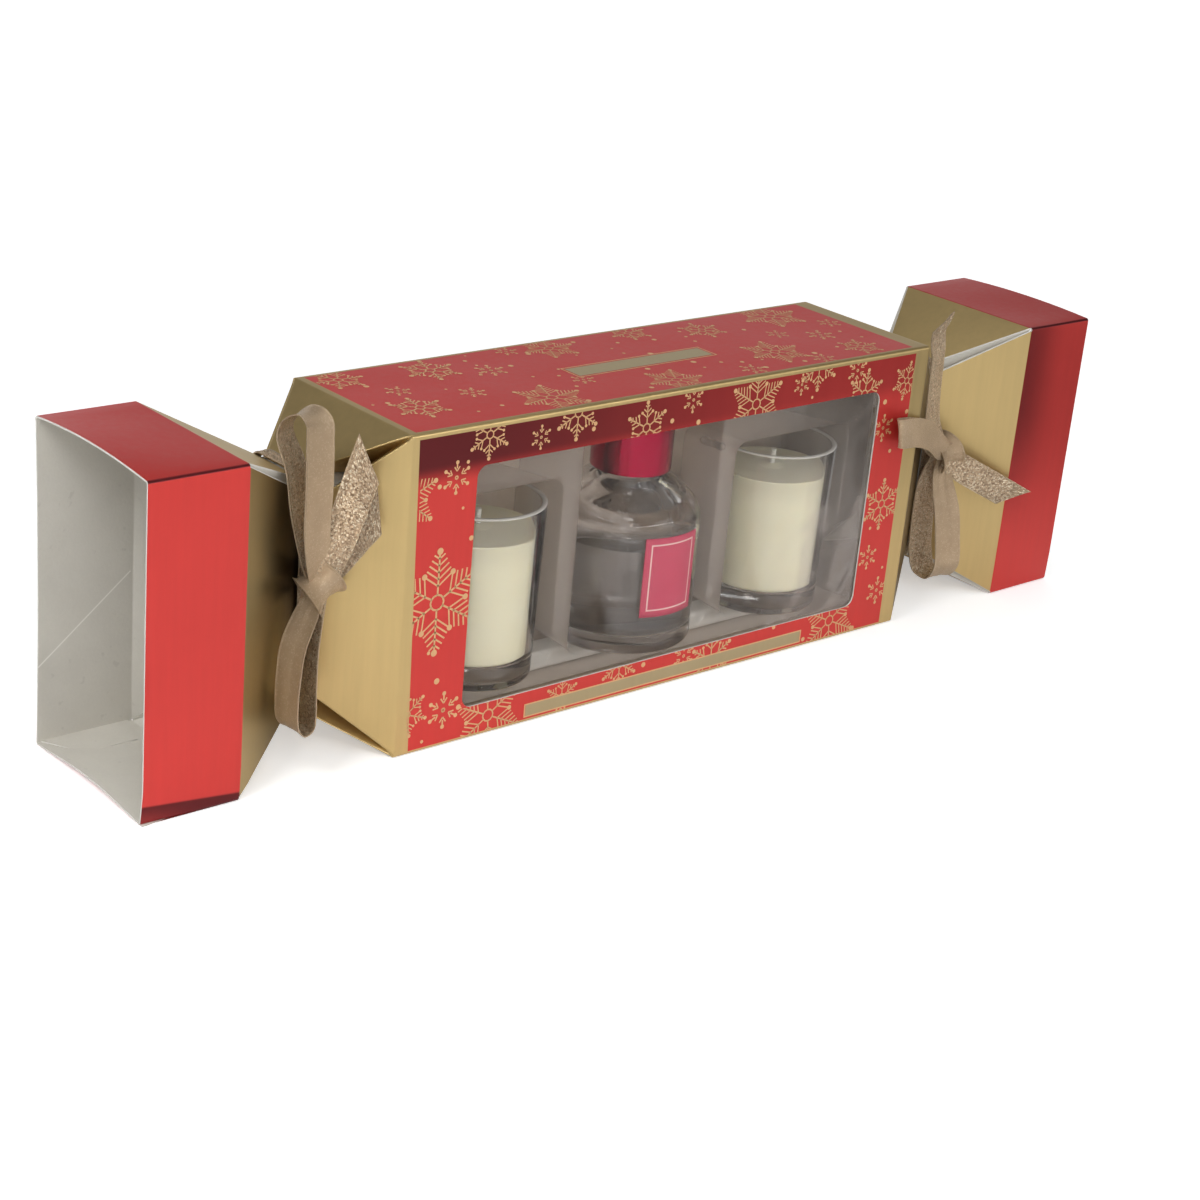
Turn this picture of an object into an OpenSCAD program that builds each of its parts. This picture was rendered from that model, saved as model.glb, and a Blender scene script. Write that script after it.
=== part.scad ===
// Cracker-shaped gift carton: a folded board sleeve with a film window, two tied necks
// and two square end hoods, around a clear tray that holds two candles and a reed diffuser.
// Millimetres, +X along the cracker, -Y is the window side, +Z up, z = 0 is the rest plane.

/* [Carton] */
// Length of the straight body between the two end creases
body_l = 235; // [228:1:270]
// Depth of the body from the window side to the back
body_d = 66; // [65:1:80]
// Height of the body
body_h = 110; // [108:1:135]
// Thickness of the folding board
board_t = 0.6; // [0.45:0.05:0.8]
// Width of the glue flap inside the back bottom edge
flap_w = 14; // [8:1:17]

/* [Window] */
// Length of the window cut in the front wall
window_l = 185; // [120:1:196]
// Height of the window cut
window_h = 84.5; // [50:0.5:88]
// Height of the window's lower edge over the rest plane
window_z = 11.5; // [9:0.5:14]
// Offset of the window's centre from the middle of the body
window_x = 1.5; // [-4:0.5:4]
// Corner radius of the window cut
window_r = 4; // [1:0.5:10]
// Thickness of the window film
film_t = 0.25; // [0.15:0.05:0.4]
// Width of the film that is glued down round the window
film_glue = 5; // [3:0.5:7]

/* [Necks] */
// Length of a taper along X, from the end crease to the neck
taper_run = 26; // [22:0.5:32]
// How far the neck is drawn in from the front and from the back
neck_inset_y = 19; // [15:0.5:21]
// How far the neck is drawn in from the top and from the bottom
neck_inset_z = 16; // [12:0.5:19]
// Extra draw-in of the top and bottom panels' edges, which opens the gusset valley
valley_y = 5; // [3:0.5:6]
// Extra draw-in of the front and back panels' edges at the valley
valley_z = 8.5; // [5:0.5:9]
// Space at the neck in which a hood can swing
neck_gap = 0.9; // [0.8:0.05:0.95]

/* [Hoods] */
// Length of a hood's flare along X, from the neck to its crease
flare_run = 31.5; // [28:0.5:38]
// Length of the square end of a hood
hood_l = 34; // [24:1:46]
// Draw-in of the flare panels' edges that opens the corner slits, at the top and bottom panels
slit_y = 3; // [2:0.5:5]
// Draw-in of the flare panels' edges that opens the corner slits, at the front and back panels
slit_z = 4; // [2:0.5:6]

/* [Tray] */
// Thickness of the clear formed sheet
tray_t = 0.4; // [0.3:0.05:0.6]
// Distance from the front face of the carton to the front face of the tray's flange
flange_setback = 18; // [17:0.5:19]
// Height of the pocket floors over the rest plane
pocket_floor = 10; // [9:0.5:11]
// Space beside an item at a pocket's mouth
pocket_room = 5.5; // [5:0.25:6]
// How much a pocket narrows from its mouth to its back, on each side
pocket_draft = 2.5; // [1.5:0.25:3]
// Space over a candle at its pocket's mouth
pocket_head = 4.5; // [4:0.25:5]
// Space over the cap at its pocket's mouth, in which it can be unscrewed
cap_room = 5.8; // [5.6:0.1:6]
// Corner radius of the pockets
pocket_r = 4; // [2.5:0.25:4.5]
// Distance from the tray's middle to a candle's axis
candle_pitch = 69; // [66.5:0.5:73]
// Shift of the tray along the carton
tray_x = 2; // [0:0.5:2]

/* [Candles] */
// Outer diameter of the candle glass at its rim
glass_top_d = 46; // [42:0.5:48]
// Outer diameter of the candle glass at its foot
glass_foot_d = 43; // [39:0.5:43.5]
// Height of the candle glass
glass_h = 63; // [54:0.5:72]
// Wall of the candle glass
glass_wall = 2; // [1.4:0.1:2.6]
// Thickness of the solid glass foot
glass_foot_t = 8; // [5:0.5:11]
// Height of the wax
wax_h = 44.5; // [30:0.5:46]
// Diameter of the wick
wick_d = 2; // [1.4:0.1:2.6]
// Length of wick over the wax
wick_out = 6; // [3:0.5:8]
// Diameter of the wick's metal sustainer
tab_d = 15; // [11:0.5:18]

/* [Diffuser] */
// Outer diameter of the bottle
bottle_d = 53.6; // [48:0.2:54.6]
// Height of the bottle's straight body, shoulder edge included
bottle_body_h = 50; // [42:0.5:52]
// Rise of the shoulder from the body to the neck
shoulder_rise = 11; // [8:0.5:13]
// Wall of the bottle
bottle_wall = 2.6; // [1.8:0.1:3.4]
// Thickness of the bottle's base
bottle_base_t = 6; // [4:0.5:8]
// Outer diameter of the bottle's neck
bottle_neck_d = 22; // [19:0.5:22.5]
// Height of the bottle's neck
bottle_neck_h = 13; // [10:0.5:14.5]
// Share of the bottle's body that the perfume oil fills
fill_share = 0.9; // [0.4:0.02:0.96]
// Outer diameter of the cap
cap_d = 29; // [28.5:0.25:31]
// Height of the cap
cap_h = 27; // [21:0.5:28]
// Wall of the cap's outer shell
cap_wall = 1.2; // [0.8:0.1:1.4]
// Width of the label round the bottle
label_w = 24; // [14:0.5:30]
// Height of the label
label_h = 29.5; // [14:0.5:31]
// Length of the reeds
reed_l = 190; // [150:1:200]
// Diameter of a reed
reed_d = 3; // [2:0.1:3]

/* [Ribbon] */
// Width of the ribbon
ribbon_w = 11; // [9:0.25:12]
// Thickness of the bow's doubled ribbon
ribbon_t = 0.5; // [0.3:0.05:0.6]
// Height of the bow's knot over the rest plane
knot_z = 60; // [54:0.5:64]
// Radius of the knot at its middle
knot_r = 5; // [4:0.25:5.5]

/* [Hidden] */
$fn = 64;

// Overrun of every cut past the face that it cuts
cut = 0.5;
// Gap of a soft or loose piece to what it lies on
seat_gap = 0.3;
// Gap between two rigid pieces that are a close fit
fit_gap = 0.1;

// Where the folds stand along X
end_x = body_l / 2;
neck_x = end_x + taper_run;
hood_neck_x = neck_x + neck_gap;
crease_x = hood_neck_x + flare_run;
mouth_x = crease_x + hood_l;
swing_x = neck_x + neck_gap / 2;
neck_y = body_d / 2 - neck_inset_y;
neck_z = body_h / 2 - neck_inset_z;

// A vector of length one
function unit(v) = v / norm(v);

// The solid that a set of points spans: under hull only the places of the points count
module solid_between(points) {
    hull() polyhedron(points = points, faces = [[for (i = [0 : len(points) - 1]) i]]);
}

// A flat board panel: its outer face has the given corners, and its thickness grows toward a point
module panel(outer, thick, toward) {
    normal = unit(cross(outer[1] - outer[0], outer[2] - outer[0]));
    inward = normal * (toward - outer[0]) > 0 ? normal : -normal;
    solid_between(concat(outer, [for (p = outer) p + inward * thick]));
}

// A rectangle with round corners, in the plane
module round_rect(w, h, r) {
    square([w - 2 * r, h], center = true);
    square([w, h - 2 * r], center = true);
    for (sx = [-1, 1], sy = [-1, 1])
        translate([sx * (w / 2 - r), sy * (h / 2 - r)]) circle(r);
}

// A list from its end to its start
function turned(list) = [for (i = [len(list) - 1 : -1 : 0]) list[i]];

// Points along an arc
function arc(c, r, a0, a1, steps) =
    [for (i = [0 : steps]) c + r * [cos(a0 + (a1 - a0) * i / steps), sin(a0 + (a1 - a0) * i / steps)]];

// Folded neck: one taper's four panels and the gussets tucked in between them.
// The points are for the -X end, with z counted from the middle of the height.
middle = [0, 0, body_h / 2];
function corner(sy, sz) = [-end_x, sy * body_d / 2, sz * body_h / 2];
function side_tip(sy, sz) = [-neck_x, sy * neck_y, sz * (neck_z - valley_z)];
function lid_tip(sy, sz) = [-neck_x, sy * (neck_y - valley_y), sz * neck_z];

// A gusset's two leaves unfold flat only if the three angles at the corner add up to 180 degrees.
// That fixes the angle of a leaf, and with it the direction of the inner ridge.
function leaf_angle(sy, sz) =
    let (a = corner(sy, sz), f = unit(side_tip(sy, sz) - a), t = unit(lid_tip(sy, sz) - a))
    (180 - acos(f * [0, 0, -sz]) - acos(t * [0, -sy, 0])) / 2;
function ridge_way(sy, sz) =
    let (a = corner(sy, sz), f = unit(side_tip(sy, sz) - a), t = unit(lid_tip(sy, sz) - a),
        bisector = unit(f + t),
        square_to = unit(cross(f, t)),
        inward = square_to * (-a) > 0 ? square_to : -square_to,
        tilt = acos(cos(leaf_angle(sy, sz)) / (f * bisector)))
    cos(tilt) * bisector + sin(tilt) * inward;
ridge_l = norm([taper_run, min(neck_inset_y, neck_inset_z)]);
function ridge_end(sy, sz) = corner(sy, sz) + ridge_l * ridge_way(sy, sz);

// The ridge's fold runs on past the crease by two board thicknesses, so the leaves are joined there
function past_ridge(sy, sz, from) =
    let (r = ridge_way(sy, sz), away = corner(sy, sz) - from)
    ridge_end(sy, sz) + 2 * board_t * unit(away - (away * r) * r);

module gusset(sy, sz) {
    a = corner(sy, sz);
    f = side_tip(sy, sz);
    t = lid_tip(sy, sz);
    panel([a, f, ridge_end(sy, sz), past_ridge(sy, sz, f)], board_t, 2 * a - t);
    panel([a, t, ridge_end(sy, sz), past_ridge(sy, sz, t)], board_t, 2 * a - f);
}

// The panels' outer faces close in the taper, and trim the gussets where these are folded over
module taper() {
    translate(middle) intersection() {
        union() {
            for (sy = [-1, 1])
                panel([corner(sy, -1), corner(sy, 1), side_tip(sy, 1), side_tip(sy, -1)],
                    board_t, [-end_x, 0, 0]);
            for (sz = [-1, 1])
                panel([corner(-1, sz), corner(1, sz), lid_tip(1, sz), lid_tip(-1, sz)],
                    board_t, [-end_x, 0, 0]);
            for (sy = [-1, 1], sz = [-1, 1])
                gusset(sy, sz);
        }
        solid_between([for (sy = [-1, 1], sz = [-1, 1]) let (a = corner(sy, sz))
            for (p = [a, a + [board_t, 0, 0], side_tip(sy, sz), lid_tip(sy, sz)]) p]);
    }
}

// The straight tube of board from x0 to x1, with its glue flap on the floor along the back
module board_tube(x0, x1, flap_slant) {
    flap_end = 2 * board_t;
    back = body_d / 2 - board_t;
    difference() {
        translate([x0, -body_d / 2, 0]) cube([x1 - x0, body_d, body_h]);
        translate([x0 - cut, -body_d / 2 + board_t, board_t])
            cube([x1 - x0 + 2 * cut, body_d - 2 * board_t, body_h - 2 * board_t]);
    }
    translate([0, 0, board_t / 2]) linear_extrude(board_t * 3 / 2)
        polygon([[x0 + flap_end + flap_slant, back - flap_w],
            [x1 - flap_end - flap_slant, back - flap_w],
            [x1 - flap_end, back + board_t / 2], [x0 + flap_end, back + board_t / 2]]);
}

module carton_sleeve() {
    color([0.78, 0.2, 0.2])
    difference() {
        union() {
            board_tube(-end_x, end_x, flap_w / 2);
            taper();
            mirror([1, 0, 0]) taper();
        }
        translate([window_x, -body_d / 2 - cut, window_z + window_h / 2]) rotate([-90, 0, 0])
            linear_extrude(board_t + 2 * cut) round_rect(window_l, window_h, window_r);
    }
}

module window_film() {
    color([0.8, 0.85, 0.9, 0.3])
    translate([window_x - window_l / 2 - film_glue, -body_d / 2 + board_t, window_z - film_glue])
        cube([window_l + 2 * film_glue, film_t, window_h + 2 * film_glue]);
}

// A flare panel's corners: where they stand along X, how far they are drawn in, and on which side
flare_corners = [[-crease_x, 0, -1], [-crease_x, 0, 1], [-hood_neck_x, 1, 1], [-hood_neck_x, 1, -1]];

// A hood for the -X end: a square tube, and a flare of four panels whose corners are open slits
module hood() {
    color([0.76, 0.62, 0.35])
    union() {
        board_tube(-mouth_x, -crease_x, flap_w / 3);
        translate(middle) {
            for (sy = [-1, 1])
                panel([for (e = flare_corners) [e[0], sy * (body_d / 2 - e[1] * neck_inset_y),
                        e[2] * (body_h / 2 - e[1] * (neck_inset_z + slit_z))]],
                    board_t, [-crease_x, 0, 0]);
            for (sz = [-1, 1])
                panel([for (e = flare_corners) [e[0], e[2] * (body_d / 2 - e[1] * (neck_inset_y + slit_y)),
                        sz * (body_h / 2 - e[1] * neck_inset_z)]],
                    board_t, [-crease_x, 0, 0]);
        }
    }
}

module left_hood() { hood(); }
module right_hood() { mirror([1, 0, 0]) hood(); }

// Where the tray and what it holds stand
tray_end_gap = 1;
tray_l = body_l - 2 * (tray_x + tray_end_gap);
tray_r = 6;
tray_y = -body_d / 2 + flange_setback;
tray_back_y = body_d / 2 - board_t - seat_gap;
tray_low_z = 2 * board_t + seat_gap;
tray_top_z = body_h - board_t - seat_gap;
glass_r = glass_top_d / 2;
bottle_r = bottle_d / 2;
// How far behind the flange's front face the axes of the candles and of the bottle stand
candle_seat = 10;
bottle_seat = 12.5;
candle_y = tray_y + candle_seat;
bottle_y = tray_y + bottle_seat;
left_candle_x = tray_x - candle_pitch;
right_candle_x = tray_x + candle_pitch;
item_z = pocket_floor + fit_gap;
neck_base_z = bottle_body_h + shoulder_rise;
cap_lift = 1.5;
cap_z = neck_base_z + cap_lift;
cap_top_z = item_z + cap_z + cap_h;

// A drafted pocket between two rounded outlines: grow is 0 for its inside and tray_t for its outside
module pocket(x, half_w, top_z, back_y, grow) {
    low = pocket_floor - grow;
    hull() {
        for (e = [[tray_y - (grow > 0 ? 0 : cut), 0], [back_y + grow - fit_gap, pocket_draft]]) {
            w = 2 * (half_w + grow - e[1]);
            h = top_z + grow - e[1] - low;
            translate([x, e[0], low + h / 2]) rotate([-90, 0, 0])
                linear_extrude(fit_gap) round_rect(w, h, pocket_r, $fn = 16);
        }
    }
}

// Each pocket: its middle, half its mouth, its top and its back
candle_pocket = [glass_r + pocket_room, item_z + glass_h + pocket_head, candle_y + glass_r + seat_gap];
pockets = [
    concat(left_candle_x, candle_pocket),
    [tray_x, bottle_r + pocket_room, cap_top_z + cap_room, bottle_y + bottle_r + seat_gap],
    concat(right_candle_x, candle_pocket)];

module tray_block(inset, y0) {
    h = tray_top_z - tray_low_z - 2 * inset;
    translate([tray_x, y0, (tray_top_z + tray_low_z) / 2]) rotate([-90, 0, 0])
        linear_extrude(tray_back_y - y0 + (inset > 0 ? cut : 0))
            round_rect(tray_l - 2 * inset, h, tray_r - inset);
}

module blister_tray() {
    color([0.85, 0.88, 0.9, 0.35])
    difference() {
        union() {
            difference() {
                tray_block(0, tray_y);
                tray_block(tray_t, tray_y + tray_t);
            }
            for (p = pockets) pocket(p[0], p[1], p[2], p[3], tray_t);
        }
        for (p = pockets) pocket(p[0], p[1], p[2], p[3], 0);
    }
}

// Candle glass: a tapered tumbler with a thick foot and a rounded rim
glass_foot_r = glass_foot_d / 2;
foot_edge = 1.5;
function glass_outer_r(z) = glass_foot_r + (glass_r - glass_foot_r) * z / glass_h;
function glass_inner_r(z) = glass_outer_r(z) - glass_wall;

module candle_glass(x) {
    rim = glass_wall / 2;
    color([0.85, 0.9, 0.9, 0.35])
    translate([x, candle_y, item_z]) rotate_extrude()
        polygon(concat(
            [[0, foot_edge / 2], [glass_foot_r / 2, foot_edge / 2], [glass_foot_r - 2 * foot_edge, 0]],
            arc([glass_foot_r - foot_edge, foot_edge], foot_edge, -90, 0, 6),
            arc([glass_outer_r(glass_h - rim) - rim, glass_h - rim], rim, 0, 180, 8),
            [[glass_inner_r(glass_foot_t + foot_edge), glass_foot_t + foot_edge],
            [glass_inner_r(glass_foot_t) - foot_edge, glass_foot_t], [0, glass_foot_t]]));
}

// Sustainer: a pressed disc with a short tube that grips the wick
tab_t = 0.4;
tab_tube_h = 3;
tab_tube_wall = 0.4;
wick_r = wick_d / 2;
sustainer_z = item_z + glass_foot_t;

module wick_sustainer(x) {
    color([0.7, 0.7, 0.72])
    translate([x, candle_y, sustainer_z])
    difference() {
        union() {
            cylinder(h = tab_t, d = tab_d);
            cylinder(h = tab_tube_h, r = wick_r + fit_gap + tab_tube_wall);
        }
        translate([0, 0, tab_t]) cylinder(h = tab_tube_h, r = wick_r + fit_gap);
    }
}

module candle_wick(x) {
    color([0.93, 0.92, 0.88])
    translate([x, candle_y, sustainer_z + tab_t])
        cylinder(h = wax_h - tab_t + wick_out, r = wick_r);
}

// Wax: it fills the glass over the foot, with a sunk ring at the wall and a bore for the wick
wax_sink = 1;

module candle_wax(x) {
    low_r = glass_inner_r(glass_foot_t) - foot_edge - fit_gap;
    edge_r = glass_inner_r(glass_foot_t + foot_edge) - fit_gap;
    top = glass_foot_t + wax_h;
    top_r = glass_inner_r(top);
    color([0.93, 0.91, 0.78])
    translate([x, candle_y, item_z])
    difference() {
        rotate_extrude()
            polygon([[0, glass_foot_t], [low_r, glass_foot_t], [edge_r, glass_foot_t + foot_edge],
                [top_r - fit_gap, top], [top_r - 3 * wax_sink, top - wax_sink / 2],
                [4 * wax_sink, top - wax_sink], [0, top - wax_sink / 2]]);
        translate([0, 0, glass_foot_t - cut]) cylinder(h = wax_h + 2 * cut, r = wick_r + fit_gap);
        translate([0, 0, glass_foot_t - cut]) cylinder(h = cut + tab_t + fit_gap, r = tab_d / 2 + fit_gap);
        translate([0, 0, glass_foot_t - cut])
            cylinder(h = cut + tab_tube_h + fit_gap, r = wick_r + tab_tube_wall + 2 * fit_gap);
    }
}

// Diffuser bottle: a round body, a domed shoulder and a short neck
bottle_edge = 2.5;
shoulder_r = 5;
bottle_neck_r = bottle_neck_d / 2;
neck_wall = 2.4;
bottle_punt = 1;
shoulder_turn = 62;
bottle_top_z = neck_base_z + bottle_neck_h;

module diffuser_bottle() {
    in_r = bottle_r - bottle_wall;
    in_shoulder = shoulder_r - bottle_wall / 2;
    neck_edge = neck_wall / 4;
    color([0.85, 0.9, 0.9, 0.35])
    translate([tray_x, bottle_y, item_z]) rotate_extrude()
        polygon(concat(
            [[0, bottle_punt], [bottle_r / 2, bottle_punt], [bottle_r - 2 * bottle_edge, 0]],
            arc([bottle_r - bottle_edge, bottle_edge], bottle_edge, -90, 0, 6),
            arc([bottle_r - shoulder_r, bottle_body_h - shoulder_r], shoulder_r, 0, shoulder_turn, 8),
            [[bottle_neck_r + neck_wall, neck_base_z - neck_wall / 2], [bottle_neck_r, neck_base_z],
            [bottle_neck_r, bottle_top_z - neck_edge], [bottle_neck_r - neck_edge, bottle_top_z],
            [bottle_neck_r - neck_wall, bottle_top_z],
            [bottle_neck_r - neck_wall, neck_base_z - neck_wall]],
            turned(arc([in_r - in_shoulder, bottle_body_h - bottle_wall / 2 - shoulder_r], in_shoulder,
                0, shoulder_turn, 8)),
            [[in_r, bottle_base_t + bottle_edge], [in_r - bottle_edge, bottle_base_t],
            [0, bottle_base_t]]));
}

// Perfume oil: it fills the bottle up to its level
module perfume_oil() {
    in_r = bottle_r - bottle_wall - fit_gap;
    level = bottle_base_t + (bottle_body_h - shoulder_r - bottle_wall - bottle_base_t) * fill_share;
    color([0.95, 0.93, 0.86, 0.5])
    translate([tray_x, bottle_y, item_z]) rotate_extrude()
        polygon([[0, bottle_base_t], [in_r - bottle_edge, bottle_base_t],
            [in_r, bottle_base_t + bottle_edge], [in_r, level], [0, level]]);
}

// Stopper: a soft plug in the neck with a flange on its rim
stopper_flange_t = 1.5;
stopper_depth = 8;

module bottle_stopper() {
    bore_r = bottle_neck_r - neck_wall;
    color([0.92, 0.92, 0.9])
    translate([tray_x, bottle_y, item_z + bottle_top_z]) rotate_extrude()
        polygon([[0, -stopper_depth / 2], [bore_r - neck_wall, -stopper_depth / 2],
            [bore_r - neck_wall, -stopper_depth], [bore_r - neck_wall / 3, -stopper_depth],
            [bore_r - fit_gap, -stopper_depth + neck_wall], [bore_r - fit_gap, 0],
            [bottle_neck_r, 0], [bottle_neck_r, stopper_flange_t], [0, stopper_flange_t]]);
}

// Cap: a foam seal that lifts with it, a threaded insert, and a bright outer shell
seal_t = 1.2;
thread_gap = 0.4;
insert_wall = 1.6;
cap_seal_z = item_z + bottle_top_z + stopper_flange_t + fit_gap;
insert_web_z = cap_seal_z + seal_t + fit_gap;
cap_edge = 1.2;
cap_low_z = item_z + cap_z;
cap_in_r = cap_d / 2 - cap_wall;

module cap_seal() {
    color([0.9, 0.9, 0.88])
    translate([tray_x, bottle_y, cap_seal_z]) cylinder(h = seal_t, r = bottle_neck_r);
}

module cap_insert() {
    out_r = cap_in_r - fit_gap;
    color([0.93, 0.93, 0.93])
    translate([tray_x, bottle_y, 0])
    difference() {
        translate([0, 0, cap_low_z + fit_gap])
            cylinder(h = insert_web_z + insert_wall - cap_low_z - fit_gap, r = out_r);
        translate([0, 0, cap_low_z - cut])
            cylinder(h = insert_web_z - cap_low_z + cut, r = bottle_neck_r + thread_gap);
    }
}

module cap_shell() {
    r = cap_d / 2;
    color([0.75, 0.1, 0.35])
    translate([tray_x, bottle_y, cap_low_z]) rotate_extrude()
        polygon(concat(
            [[cap_in_r, 0], [r, 0]],
            arc([r - cap_edge, cap_h - cap_edge], cap_edge, 0, 90, 6),
            [[0, cap_h], [0, cap_h - cap_wall], [cap_in_r, cap_h - cap_wall]]));
}

// Label: a sheet round the front of the bottle
label_t = 0.15;
label_z = 15;

module bottle_label() {
    r = bottle_r + fit_gap;
    turn = label_w / r * 180 / PI;
    color([0.8, 0.3, 0.4])
    translate([tray_x, bottle_y, item_z + label_z]) rotate([0, 0, -90 - turn / 2])
        rotate_extrude(angle = turn, $fn = 128) translate([r, 0]) square([label_t, label_h]);
}

// Reeds: six sticks in two rows, in the channel under the pockets, in a paper wrap as long as they are
reed_pitch = reed_d + fit_gap;
wrap_t = 0.3;
wrap_end = 1;
wrap_l = reed_l + 2 * wrap_end;
reed_y = candle_y + candle_seat / 2;
reed_low_z = tray_low_z + tray_t + fit_gap + wrap_t + fit_gap;

module diffuser_reeds() {
    color([0.85, 0.75, 0.58])
    for (row = [0, 1], i = [-1, 0, 1])
        translate([tray_x - reed_l / 2, reed_y + i * reed_pitch,
            reed_low_z + reed_d / 2 + row * reed_pitch])
            rotate([0, 90, 0]) cylinder(h = reed_l, d = reed_d, $fn = 32);
}

module reed_wrap() {
    w = 3 * reed_pitch + 2 * fit_gap + 2 * wrap_t;
    h = 2 * reed_pitch + 2 * fit_gap + 2 * wrap_t;
    color([0.9, 0.88, 0.82])
    translate([tray_x - wrap_l / 2, reed_y, reed_low_z - wrap_t - fit_gap + h / 2]) rotate([0, 90, 0])
        linear_extrude(wrap_l) difference() {
            round_rect(h, w, reed_d / 2);
            round_rect(h - 2 * wrap_t, w - 2 * wrap_t, reed_d / 2 - wrap_t);
        }
}

// Ribbon round a neck: gathered in the groove, clear of the hood as it swings.
// Its section is given by points [x toward the body, height over the neck's edge].
band_half = 2.6;
band_top = 2.7;
// How far the band reaches toward the hood, of what it reaches toward the body
hood_side_share = 0.8;
band_hood_half = band_half * hood_side_share;
// Space between the band and the hood's flare, for the swing
swing_room = 1.3;
function groove(x) = max(
    (x - neck_gap / 2) * neck_inset_y / taper_run,
    (-x - neck_gap / 2 + swing_room) * neck_inset_y / flare_run,
    0);
band_low = [for (x = [-band_hood_half, -band_half / 4, neck_gap / 2, band_half])
    [x, groove(x) + seat_gap]];
band_section = concat(band_low, [[band_half, band_top], [-band_hood_half, band_top]]);
// How much of a growing offset a chamfered corner's two points take along their sides:
// enough that the corners of the swinging flare panels pass under the chamfer
chamfer_share = 0.7;
function band_ring(h) =
    let (y = neck_y + h, z = neck_z + h,
        y_in = neck_y - slit_y + h * chamfer_share, z_in = neck_z - slit_z + h * chamfer_share)
    [[y, -z_in], [y, z_in], [y_in, z], [-y_in, z], [-y, z_in], [-y, -z_in], [-y_in, -z], [y_in, -z]];

module ribbon_band() {
    n = len(band_section);
    m = 8;
    color([0.6, 0.5, 0.4])
    translate(middle) polyhedron(
        points = [for (s = band_section, p = band_ring(s[1])) [-swing_x + s[0], p[0], p[1]]],
        faces = [for (i = [0 : n - 1], j = [0 : m - 1]) for (half = [0, 1])
            let (a = i * m + j, b = i * m + (j + 1) % m,
                c = ((i + 1) % n) * m + j, d = ((i + 1) % n) * m + (j + 1) % m)
            half == 0 ? [a, b, c] : [b, d, c]],
        convexity = 6);
}

// Bow: strips of ribbon that run along smooth curves through a few points.
// A point is its place from the knot, then the ribbon's width there as a vector, both in ribbon widths.
upper_loop_shares = [
    [[0, 0.02, 0.15], [0.6, 0, 0]], [[-0.05, 0, 0.95], [0.9, 0, 0]], [[-0.1, 0.06, 2.2], [1, 0, 0]],
    [[-0.15, 0.22, 3.3], [1, 0, 0]], [[-0.2, 0.8, 4.2], [1, 0, 0]], [[-0.2, 1.05, 4.85], [1, 0, 0]],
    [[-0.2, 0.55, 5.25], [1, 0, 0]], [[-0.15, -0.1, 5.05], [1, 0, 0]], [[-0.1, -0.35, 4.35], [1, 0, 0]],
    [[-0.05, -0.42, 3.3], [1, 0, 0]], [[0, -0.36, 2.1], [1, 0, 0]], [[0, -0.24, 0.95], [0.9, 0, 0]],
    [[0, -0.14, 0.15], [0.6, 0, 0]]];
left_lower_loop_shares = [
    [[-0.18, -0.1, -0.15], [0.1, -0.5, 0]], [[-0.45, -0.3, -0.85], [0.15, -0.85, 0]],
    [[-0.9, -0.6, -1.8], [0.1, -1, 0]], [[-1.1, -0.72, -2.9], [0, -1, 0]], [[-0.9, -0.62, -3.8], [0, -1, 0]],
    [[-0.4, -0.5, -4.25], [0, -1, 0]], [[0.1, -0.42, -4], [0, -1, 0]], [[0.3, -0.38, -3.2], [0, -1, 0]],
    [[0.28, -0.34, -2.1], [0.05, -1, 0]], [[0.2, -0.24, -1.1], [0.1, -0.85, 0]],
    [[0.1, -0.1, -0.15], [0.1, -0.5, 0]]];
left_front_tail_shares = [
    [[0.05, -0.2, 0.1], [0.7, 0, 0]], [[0.12, -0.5, 1.2], [0.8, -0.5, -0.1]],
    [[0.25, -0.85, 2.4], [0.65, -0.7, -0.22]], [[0.48, -1.03, 3.3], [0.64, -0.73, -0.25]],
    [[0.75, -1.12, 4.05], [0.64, -0.73, -0.25]]];
left_back_tail_shares = [
    [[0.1, -0.08, 0.05], [0.7, 0, 0]], [[0.42, -0.25, 0.5], [0.65, -0.55, -0.25]],
    [[0.8, -0.45, 1.2], [0.55, -0.73, -0.4]], [[1.2, -0.62, 1.9], [0.55, -0.73, -0.4]],
    [[1.6, -0.8, 2.55], [0.55, -0.73, -0.4]]];
right_lower_loop_shares = [
    [[0, -0.2, -0.15], [0.6, 0, 0]], [[0, -0.42, -0.9], [0.9, 0, 0]], [[0.05, -0.62, -1.8], [1, 0, 0]],
    [[0.1, -0.76, -2.9], [1, 0, 0]], [[0.1, -0.76, -3.8], [1, 0, 0]], [[0.1, -0.42, -4.4], [1, 0, 0]],
    [[0.05, 0.02, -4.3], [1, 0, 0]], [[0, 0.16, -3.7], [1, 0, 0]], [[-0.05, 0.18, -2.7], [1, 0, 0]],
    [[-0.05, 0.16, -1.6], [1, 0, 0]], [[0, 0.08, -0.8], [0.9, 0, 0]], [[0, 0, -0.15], [0.6, 0, 0]]];
right_up_tail_shares = [
    [[-0.05, -0.1, 0.1], [0.7, 0, 0]], [[-0.5, -0.25, 0.75], [0.9, 0.1, 0.3]],
    [[-1, -0.38, 1.7], [0.93, 0.36, 0.1]], [[-1.15, -0.42, 2.8], [0.93, 0.36, 0]],
    [[-0.98, -0.34, 3.9], [0.93, 0.36, 0]], [[-0.6, -0.2, 4.7], [0.93, 0.36, 0]]];
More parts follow.
